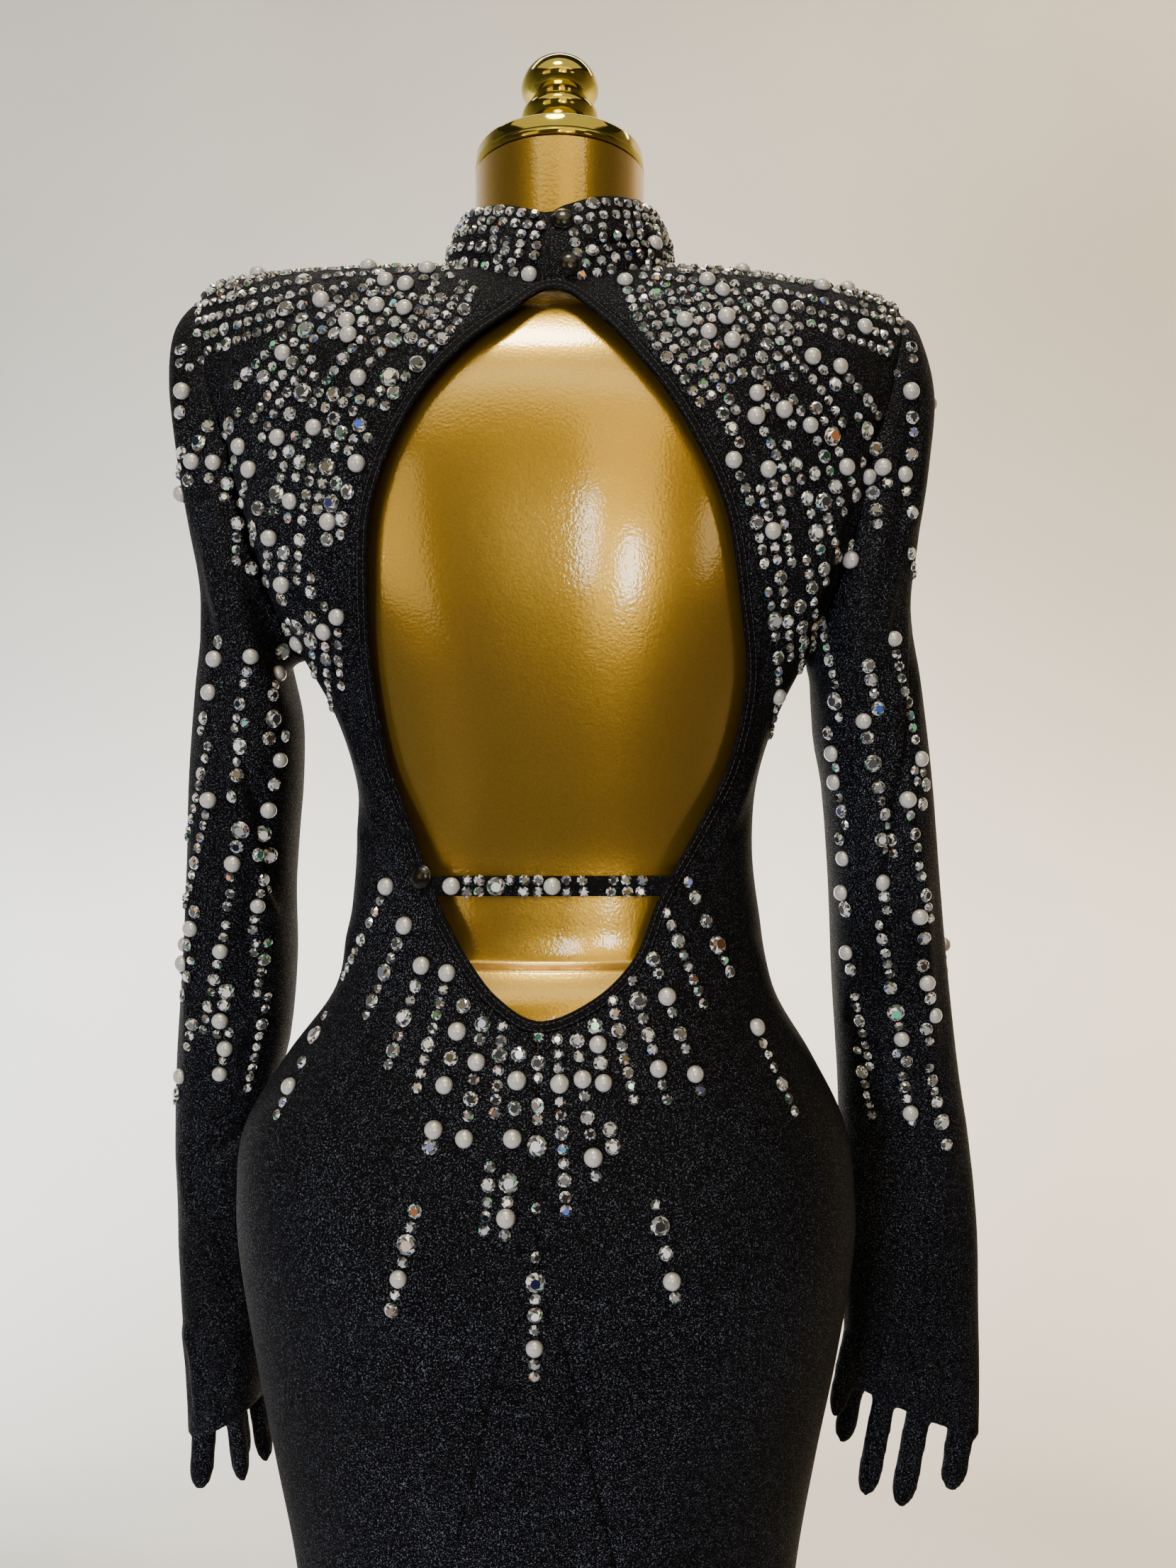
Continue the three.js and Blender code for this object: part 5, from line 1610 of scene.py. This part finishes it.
def sew_back(seats):
    """Rays from the collar, which run down beside the opening and out to the shoulder's tip."""
    pick = random.Random(RNG_SEED + 3)
    shape = BACK_RAYS
    for sign, edge in ((-1, "left"), (1, "right")):
        for ray in range(shape["count"]):
            share = ray / (shape["count"] - 1)
            reach = shape["inner_length"] + (shape["outer_length"] - shape["inner_length"]) * share
            path = []
            for t in np.linspace(0, 1, 12):
                z = shape["top"] - (shape["top"] - shape["foot"]) * t
                inner = abs(read_column(CUTOUT_SIDES, edge, z)) + shape["beside"]
                outer = shape["outer_x"] + (shape["tip_x"] - shape["outer_x"]) * math.sin(t * math.pi / 2)
                outer_z = shape["top"] - 4 - (shape["top"] - 4 - shape["tip_z"]) * t
                path.append((sign * (inner + (outer - inner) * share), z + (outer_z - z) * share))
            path = np.array(path)
            for start, end in broken(pick, pick.uniform(0, 10), reach * pick.uniform(0.86, 1)):
                run = spline(path, 60)[int(start / reach * 59):int(end / reach * 59) + 1:4]
                if len(run) > 1:
                    seats.sew_row(run, ROW_MARKS[pick.randrange(8)], throw_from_eye)
        top = SHOULDER_ROWS
        for level in range(top["count"]):
            path = [(sign * (top["near_x"] + 5 * level), top["near_z"] - 4 * level),
                    (sign * top["mid_x"], top["mid_z"] - 6 * level),
                    (sign * (top["tip_x"] - 2 * level), top["tip_z"] - 8 * level)]
            seats.sew_row(path, ROW_MARKS[pick.randrange(6)], throw_from_eye)


def sew_fan(seats):
    """A fan that falls from the foot of the opening. Every fourth ray goes on below a gap."""
    pick = random.Random(RNG_SEED + 4)
    for ray in range(-FAN["rays"], FAN["rays"] + 1):
        x = BACK_SEAM_X + ray * FAN["pitch"]
        z = FAN["foot"] + FAN["rise"] * (ray * FAN["pitch"]) ** 2
        turn = math.radians(ray * FAN["turn"] + pick.uniform(-1.5, 1.5))
        length = (FAN["length"] - FAN["shorter"] * abs(ray)) * pick.uniform(0.8, 1.15)
        runs = list(broken(pick, pick.uniform(0, 8), length))
        if ray % 4 == 0:
            tail = length + pick.uniform(20, 26)
            runs.append((tail, tail + pick.uniform(52, 84)))
        for start, end in runs:
            path = [(x + d * math.sin(turn), z - d * math.cos(turn)) for d in (start, end)]
            seats.sew_row(path, ROW_MARKS[pick.randrange(8)], throw_from_eye)


def sew_sleeves_behind(seats):
    """Short slanting rows down the back of each sleeve."""
    pick = random.Random(RNG_SEED + 5)
    for sign in (-1, 1):
        for row in range(ARM_ROWS["count"]):
            z = ARM_ROWS["top"] - (ARM_ROWS["top"] - ARM_ROWS["foot"]) * row / (ARM_ROWS["count"] - 1)
            x = ARM_ROWS["inner"] + (row * 2 % 3) * ARM_ROWS["pitch"] + pick.uniform(-3, 3)
            x += (ARM_ROWS["top"] - z) * ARM_ROWS["drift"] + (ARM_ROWS["right_out"] if sign > 0 else 0)
            long = pick.uniform(16, 56)
            path = [(sign * x, z), (sign * (x + long * ARM_ROWS["slant"]), z - long)]
            seats.sew_row(path, ROW_MARKS[pick.randrange(8)], throw_from_eye)
        for row in range(CAP_ROWS["count"]):
            z = CAP_ROWS["top"] - CAP_ROWS["pitch"] * row
            x = CAP_ROWS["x"]
            path = [(sign * x, z), (sign * (x + 2), z - pick.uniform(8, 24))]
            seats.sew_row(path, ROW_MARKS[6 + row % 2], throw_from_eye)


def sew_front(seats):
    """The front carries the same rays: from the collar over the bust, and a fan at the waist."""
    pick = random.Random(RNG_SEED + 2)
    rays, fan = FRONT_RAYS, WAIST_FAN
    for ray in range(-rays["rays"], rays["rays"] + 1):
        out = rays["x"] + ray * rays["pitch"]
        top = rays["top"] - abs(ray) * rays["fall"]
        length = (rays["length"] - rays["shorter"] * abs(ray)) * pick.uniform(0.78, 1.12)
        for start, end in broken(pick, pick.uniform(0, 12), length):
            path = [
                (out * (1 + rays["spread"] * (d / 260) ** 0.8), top - d)
                for d in np.linspace(start, end, 5)
            ]
            seats.sew_row(path, ROW_MARKS[pick.randrange(8)], throw_from_front)
    for ray in range(-fan["rays"], fan["rays"] + 1):
        angle = math.radians(ray * fan["turn"] + pick.uniform(-2, 2))
        length = (fan["length"] - fan["shorter"] * abs(ray)) * pick.uniform(0.7, 1.2)
        near = fan["near"] + 5 * abs(ray) + pick.uniform(0, 18)
        for start, end in broken(pick, near, near + length):
            path = [
                (fan["x"] + r * math.sin(angle), fan["z"] - r * math.cos(angle)) for r in (start, end)
            ]
            seats.sew_row(path, ROW_MARKS[pick.randrange(8)], throw_from_front)


def sew_arms(seats):
    """Slanting rows down the outside and the front of each sleeve."""
    marks = ("p0 m40", "m0 l60", "m20 p100", "l0 m70", "m0 m50 p100")
    for sign, throw in ((-1, throw_from_left), (1, throw_from_right)):
        for ray in range(SIDE_ROWS["count"]):
            top = SIDE_ROWS["side_top"] - ray * SIDE_ROWS["pitch"]
            y = (2, 30, 16)[ray % 3] + (1385 - top) * 0.06
            path = ((y, top), (y + 7, top - 20), (y + 12, top - 44))
            seats.sew_row(path, marks[ray % 5], throw)
        for ray in range(SIDE_ROWS["count"]):
            top = SIDE_ROWS["front_top"] - ray * SIDE_ROWS["pitch"]
            x = sign * (178 + (ray % 3) * 13 + ray * (0.9 if sign > 0 else 0.5))
            path = ((x, top), (x + sign * 5, top - 18), (x + sign * 8, top - 40))
            seats.sew_row(path, marks[(ray + 2) % 5], throw_from_front)


def make_stones(settings):
    seats = Seats(*cloth_tree(), settings)
    sew_back(seats)
    sew_fan(seats)
    sew_sleeves_behind(seats)
    sew_strap(seats)
    sew_collar(seats)
    sew_shoulders(seats)
    sew_front(seats)
    sew_arms(seats)
    shapes = stone_shapes()
    chance = random.Random(RNG_SEED + 1)
    for owner in sorted({piece for _, _, _, piece in seats.places}):
        base = owner.replace("_cloth", "").replace("_band", "")
        for label, kinds, finish, spin in (
            ("crystals_small", "s", "crystal", 3.14), ("crystals_large", "ml", "crystal", 3.14),
            ("pearls", "p", "pearl", 0.0),
        ):
            chosen = []
            for point, normal, kind, piece in seats.places:
                if piece == owner and kind in kinds:
                    wide = seats.kinds[kind] * chance.uniform(0.95, 1.07)
                    sunk = np.array(point) - np.array(normal) * 0.25
                    chosen.append((sunk, normal, across_of(normal), (wide, wide, wide)))
            if chosen:
                made = sew_on(f"{base}_{label}", chosen, shapes[kinds[0]], finish, 0.09, spin, len(chosen))
                if finish == "pearl":
                    made.data.shade_smooth()
    for shape in {shape.name: shape for shape in shapes.values()}.values():
        bpy.data.objects.remove(shape)


# ---- Stitches ----

STITCH_LONG, STITCH_PITCH, STITCH_WIDE = 2.5, 3.2, 0.55


def stitch_shape():
    """A short thread, sunk at both ends. It is one millimetre long and wide."""
    turns = np.linspace(0, 2 * math.pi, 6, endpoint=False)
    rings = []
    for at, size, up in ((-0.5, 0.5, -0.35), (-0.28, 0.95, 0.05), (0.28, 0.95, 0.05), (0.5, 0.5, -0.35)):
        rings.append([(at, 0.5 * size * math.cos(t), up + 0.5 * size * math.sin(t)) for t in turns])
    shape = loft("stitch_shape", rings)
    shape.hide_render = True
    return shape


def stitch_seats(points, normals):
    """Seats evenly spaced along a closed line of points."""
    ring = np.vstack([points, points[:1]])
    away = np.vstack([normals, normals[:1]])
    steps = np.concatenate([[0], np.cumsum(np.linalg.norm(np.diff(ring, axis=0), axis=1))])
    count = int(steps[-1] / STITCH_PITCH)
    at = np.arange(count) / count * steps[-1]
    spots = np.stack([np.interp(at, steps, ring[:, k]) for k in range(3)], axis=1)
    ups = np.stack([np.interp(at, steps, away[:, k]) for k in range(3)], axis=1)
    ups /= np.linalg.norm(ups, axis=1, keepdims=True)
    ahead = np.roll(spots, -1, axis=0) - np.roll(spots, 1, axis=0)
    ahead /= np.linalg.norm(ahead, axis=1, keepdims=True)
    size = (STITCH_LONG, STITCH_WIDE, STITCH_WIDE)
    return [(spot, up, way, size) for spot, up, way in zip(spots, ups, ahead)]


def make_stitches():
    """Two rows of topstitch round the binding and two round the hem."""
    shape = stitch_shape()
    seats = []
    for margin in (1.3, 4.5):
        outline = cutout_outline(margin, 900)
        height = np.full(len(outline), 1.05)
        points, normals = on_back(outline[:, 0], outline[:, 1], height)
        seats += stitch_seats(points, normals)
    sew_on("binding_stitches", seats, shape, "thread", 0.04, 0.05, 3)
    seats = []
    for up in (19.0, 22.0):
        turns = np.linspace(0, 2 * math.pi, 1200, endpoint=False)
        ring = dress_points(turns, np.full(1200, HEM_Z + up))
        ahead = np.roll(ring, -1, axis=0) - np.roll(ring, 1, axis=0)
        away = np.stack([ahead[:, 1], -ahead[:, 0], np.zeros(1200)], axis=1)
        away /= np.linalg.norm(away, axis=1, keepdims=True)
        seats += stitch_seats(ring - away * 0.3, away)
    sew_on("hem_stitches", seats, shape, "thread", 0.04, 0.05, 5)
    bpy.data.objects.remove(shape)


# ---- Stage ----

ROOM = {"radius": 3150, "y": -1050, "bend": 800, "top": 4200, "around": 96}
# Soft lamps. Their places, aims and sizes are in metres, and their power in watts.
LAMPS = rows(
    "name place aim size power colour shows spread",
    ("ceiling", (0, -1.2, 3.1), (0, -0.8, 1.2), (3.0, 2.2), 20, "#fff0cc", True, 180),
    ("lamp", (-0.1, -0.85, 3.05), (0, 0, 1.3), (0.5, 0.42), 17, "#fff8ea", True, 180),
    ("front", (-0.7, -2.3, 2.1), (0, 0, 1.1), (1.2, 0.8), 13, "#fffaf0", False, 180),
    ("low", (-1.0, -1.8, 0.5), (0, 0, 0.85), (0.5, 0.5), 33, "#f0f4ff", False, 125),
    ("high", (0.1, -2.05, 2.82), (0, 0, 1.4), (2.6, 0.6), 7, "#ffe78c", True, 180),
    ("left", (-1.45, -2.05, 1.6), (0, 0, 1.3), (0.9, 1.3), 4.5, "#ffe080", True, 180),
    ("right", (0.38, -2.1, 1.72), (0, 0, 1.3), (0.72, 1.44), 5.8, "#ffdc74", True, 180),
    ("side", (1.4, -1.9, 1.6), (0, 0, 1.2), (0.4, 0.6), 1.0, "#ffe4a8", True, 180),
    ("window_edge", (-1.95, -2.0, 1.5), (0, 0, 1.3), (0.1, 0.2), 0.8, "#ffffff", True, 180),
    ("window_left", (0.04, -2.0, 1.6), (0, 0, 1.3), (0.09, 0.6), 1.7, "#ffffff", True, 180),
    ("window_right", (0.42, -2.0, 1.38), (0, 0, 1.3), (0.22, 0.38), 2.4, "#ffffff", True, 180),
    ("rim", (-1.5, 0.9, 2.3), (0, 0, 1.2), (0.6, 1.2), 12, "#ffffff", False, 180),
    ("wall_high", (0.2, 0.9, 3.3), (0.0, 2.1, 1.3), (3.2, 0.4), 33, "#fff6ea", True, 180),
    ("wall_low", (-0.2, 0.6, 0.24), (0.0, 2.1, 0.9), (3.4, 0.3), 82, "#fbfbff", True, 130),
    ("wall_front", (0, -2.7, 3.2), (0, -4.2, 1.6), (3.2, 0.4), 6, "#fff6ea", True, 180),
)


def area_light(name, place, aim, size, power, colour, shows, spread):
    """A soft lamp out of the camera's sight; one that doesn't show isn't mirrored by metal either."""
    lamp = bpy.data.lights.new(name, "AREA")
    lamp.shape = "ELLIPSE" if size[0] * size[1] < 0.3 else "RECTANGLE"
    lamp.size, lamp.size_y = size
    lamp.energy = power
    lamp.spread = math.radians(spread)
    lamp.color = linear(colour)[:3]
    light = bpy.data.objects.new(name, lamp)
    light.location = place
    light.rotation_euler = (Vector(aim) - Vector(place)).to_track_quat("-Z", "Y").to_euler()
    light.visible_camera = False
    light.visible_glossy = shows
    bpy.context.scene.collection.objects.link(light)


def make_stage(settings):
    camera = bpy.data.cameras.new("Camera")
    camera.sensor_width = 36
    camera.lens = settings.lens
    eye = bpy.data.objects.new("Camera", camera)
    eye.location = [v * MM for v in EYE]
    eye.rotation_euler = (math.pi / 2, 0, 0)
    bpy.context.scene.collection.objects.link(eye)
    bpy.context.scene.camera = eye

    # A pale floor that sweeps up on all sides into the round wall of the room.
    wide, round_off, around = ROOM["radius"], ROOM["bend"], ROOM["around"]
    turns = np.linspace(0, 2 * math.pi, around, endpoint=False)
    bend = [
        (wide - round_off + round_off * math.sin(a), round_off - round_off * math.cos(a))
        for a in np.linspace(0, math.pi / 2, 17)
    ]
    profile = [(200, 0), (wide - round_off - 50, 0), *bend, (wide, 2000), (wide, ROOM["top"])]
    points = [(r * math.cos(a), r * math.sin(a) + ROOM["y"], z) for r, z in profile for a in turns]
    faces = [tuple(range(around - 1, -1, -1))] + grid_faces(len(profile), around, around=True)
    sweep = new_object("studio_sweep", np.array(points), faces)
    material, tree, shader = new_material("studio_wall_paint")
    place = add_node(tree, "ShaderNodeTexCoord").outputs["Object"]
    # The wall's colour goes from cool on the left to warm on the right, with faint roller marks. It is also
    # darker away from the rear wall: painted shade that stands in for the dim room round the object.
    sides = add_node(tree, "ShaderNodeSeparateXYZ", {"Vector": place})
    turn = add_node(
        tree, "ShaderNodeMapRange", {"Value": sides.outputs["X"], "From Min": -1.3, "From Max": 1.3},
    )
    depth = add_node(
        tree, "ShaderNodeMapRange", {"Value": sides.outputs["Y"], "From Min": -0.8, "From Max": 1.3},
    )
    grain = add_node(tree, "ShaderNodeTexNoise", {"Vector": place, "Scale": 3, "Detail": 3})
    colour = add_node(
        tree, "ShaderNodeValToRGB", {"Fac": turn.outputs["Result"]},
        stops=((0.0, settings.wall_left), (1.0, settings.wall_right)),
    ).outputs["Color"]
    for factor, stops in (
        # Painted shade: the floor and the walls darken towards the front of the room.
        (depth.outputs["Result"], ((0.0, grey(0.32)), (1.0, grey(1)))),
        (grain.outputs["Fac"], ((0.3, grey(0.95)), (0.7, grey(1)))),
    ):
        layer = add_node(tree, "ShaderNodeValToRGB", {"Fac": factor}, stops=stops).outputs["Color"]
        colour = add_node(
            tree, "ShaderNodeMix", {0: 1.0, 6: colour, 7: layer}, data_type="RGBA",
            blend_type="MULTIPLY",
        ).outputs[2]
    set_inputs(tree, shader, {"Base Color": colour, "Roughness": 0.9})
    sweep.data.materials.append(material)
    sweep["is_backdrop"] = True

    world = bpy.data.worlds.new("World")
    bpy.context.scene.world = world
    world.use_nodes = True
    backdrop = world.node_tree.nodes["Background"]
    backdrop.inputs["Color"].default_value = linear("#d8dce0")
    backdrop.inputs["Strength"].default_value = settings.room

    for lamp in LAMPS:
        area_light(**{**lamp, "power": lamp["power"] * settings.power})


# ---- Add-on ----


def colour_property(name, description, text):
    return bpy.props.FloatVectorProperty(
        name=name, description=description, default=linear(text), subtype="COLOR", size=4, min=0, max=1,
    )


def length_property(name, description, size):
    return bpy.props.FloatProperty(name=name, description=description, default=size * MM, unit="LENGTH")


class DressCloth(bpy.types.PropertyGroup):
    """The knit that the dress is cut from."""

    thick: length_property("Cloth thickness", "Thickness of the scuba knit", 1.4)
    ground: colour_property("Cloth colour", "Colour of the knit's ground", "#040406")
    fleck: colour_property("Fleck colour", "Colour of the filaments that catch the light", "#4c4f5a")


class DressStones(bpy.types.PropertyGroup):
    """The stones and pearls, and how closely they are sewn."""

    small: length_property("Small stone", "Width of a small crystal", KINDS["s"])
    medium: length_property("Medium stone", "Width of a medium crystal", KINDS["m"])
    large: length_property("Large stone", "Width of a large crystal", KINDS["l"])
    pearl_wide: length_property("Pearl", "Width of a half-round pearl", KINDS["p"])
    gap: length_property("Gap", "Cloth left between two stones of a row", PITCH_GAP)
    crystal: colour_property("Crystal colour", "Colour of the clear stones", "#ffffff")
    pearl: colour_property("Pearl colour", "Colour of the pearls", "#b4b1ae")


class DressForm(bpy.types.PropertyGroup):
    """The paint and plate of the form."""

    paint_dark: colour_property("Paint, dark flake", "Darker flake of the gold paint", "#b8912e")
    paint_light: colour_property("Paint, light flake", "Lighter flake of the gold paint", "#c7a136")
    plate: colour_property("Plate", "Colour of the polished gold plate", "#bfae4e")


class DressStage(bpy.types.PropertyGroup):
    """The camera, the room and its lights."""

    lens: bpy.props.FloatProperty(
        name="Lens", description="Focal length in millimetres", default=27.05, min=10, max=200,
    )
    power: bpy.props.FloatProperty(
        name="Lights", description="Strength of all the lights", default=1.0, min=0, subtype="FACTOR",
    )
    room: bpy.props.FloatProperty(
        name="Room light", description="Strength of the light from all round", default=0.05, min=0,
    )
    wall_left: colour_property("Wall, left", "Cool paint on the left of the wall", "#c9cac6")
    wall_right: colour_property("Wall, right", "Warm paint on the right of the wall", "#d3c4ab")


class DRESS_OT_stage(bpy.types.Operator):
    """Sets the camera, the lights and the pale sweep"""

    bl_idname = "dress.stage"
    bl_label = "Set the stage"

    def execute(self, context):
        make_stage(context.scene.dress_stage)
        return {"FINISHED"}


class DRESS_OT_panels(bpy.types.Operator):
    """Makes the front, both backs and the godet"""

    bl_idname = "dress.panels"
    bl_label = "Make the panels"

    def execute(self, context):
        make_panels(context.scene.dress_cloth.thick / MM)
        return {"FINISHED"}


class DRESS_OT_sleeves(bpy.types.Operator):
    """Makes both gloved sleeves"""

    bl_idname = "dress.sleeves"
    bl_label = "Make the sleeves"

    def execute(self, context):
        for side in ("left", "right"):
            make_sleeve(side, context.scene.dress_cloth.thick / MM)
        return {"FINISHED"}


class DRESS_OT_collar(bpy.types.Operator):
    """Makes the standing collar"""

    bl_idname = "dress.collar"
    bl_label = "Make the collar"

    def execute(self, context):
        make_collar(context.scene.dress_cloth.thick / MM)
        return {"FINISHED"}


class DRESS_OT_binding(bpy.types.Operator):
    """Makes the binding round the open back"""

    bl_idname = "dress.binding"
    bl_label = "Make the binding"

    def execute(self, context):
        make_binding()
        return {"FINISHED"}


class DRESS_OT_strap(bpy.types.Operator):
    """Makes the strap across the open back"""

    bl_idname = "dress.strap"
    bl_label = "Make the strap"

    def execute(self, context):
        make_strap()
        return {"FINISHED"}


class DRESS_OT_snaps(bpy.types.Operator):
    """Makes the three black snap caps"""

    bl_idname = "dress.snaps"
    bl_label = "Make the snaps"

    def execute(self, context):
        make_snaps()
        return {"FINISHED"}


class DRESS_OT_form(bpy.types.Operator):
    """Makes the gold form's body"""

    bl_idname = "dress.form"
    bl_label = "Make the form"

    def execute(self, context):
        make_form()
        return {"FINISHED"}


class DRESS_OT_stand(bpy.types.Operator):
    """Makes the cap, finial, flange, pole and base"""

    bl_idname = "dress.stand"
    bl_label = "Make the metal parts"

    def execute(self, context):
        make_stand()
        return {"FINISHED"}


class DRESS_OT_stones(bpy.types.Operator):
    """Sews the crystals and pearls on the cloth"""

    bl_idname = "dress.stones"
    bl_label = "Sew the stones"

    def execute(self, context):
        make_stones(context.scene.dress_stones)
        return {"FINISHED"}


class DRESS_OT_stitches(bpy.types.Operator):
    """Sews the topstitch of the binding and the hem"""

    bl_idname = "dress.stitches"
    bl_label = "Sew the stitches"

    def execute(self, context):
        make_stitches()
        return {"FINISHED"}


OPERATORS = (
    DRESS_OT_stage, DRESS_OT_panels, DRESS_OT_sleeves, DRESS_OT_collar, DRESS_OT_binding,
    DRESS_OT_strap, DRESS_OT_snaps, DRESS_OT_form, DRESS_OT_stand, DRESS_OT_stones,
    DRESS_OT_stitches,
)
GROUPS = {
    "dress_cloth": DressCloth, "dress_stones": DressStones, "dress_form": DressForm,
    "dress_stage": DressStage,
}


class DRESS_PT_panel(bpy.types.Panel):
    """Lists the sizes, the colours and the steps"""

    bl_label = "Dress"
    bl_idname = "DRESS_PT_panel"
    bl_space_type = "VIEW_3D"
    bl_region_type = "UI"
    bl_category = "Dress"

    def draw(self, context):
        for key, group in GROUPS.items():
            box = self.layout.box()
            box.label(text=group.__doc__)
            for field in group.__annotations__:
                box.prop(getattr(context.scene, key), field)
        for step in OPERATORS:
            self.layout.operator(step.bl_idname)


def register():
    for kind in (*GROUPS.values(), *OPERATORS, DRESS_PT_panel):
        bpy.utils.register_class(kind)
    for key, group in GROUPS.items():
        setattr(bpy.types.Scene, key, bpy.props.PointerProperty(type=group))


def unregister():
    for key in GROUPS:
        delattr(bpy.types.Scene, key)
    for kind in (DRESS_PT_panel, *reversed(OPERATORS), *reversed(GROUPS.values())):
        bpy.utils.unregister_class(kind)


def main():
    register()
    for step in OPERATORS:
        getattr(bpy.ops.dress, step.bl_idname.split(".")[1])()
    boxes = {"cad": CAD_BOX, "visual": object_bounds()}
    {k: [list(map(float, corner)) for corner in box] for k, box in boxes.items()}


if __name__ == "__main__":
    main()
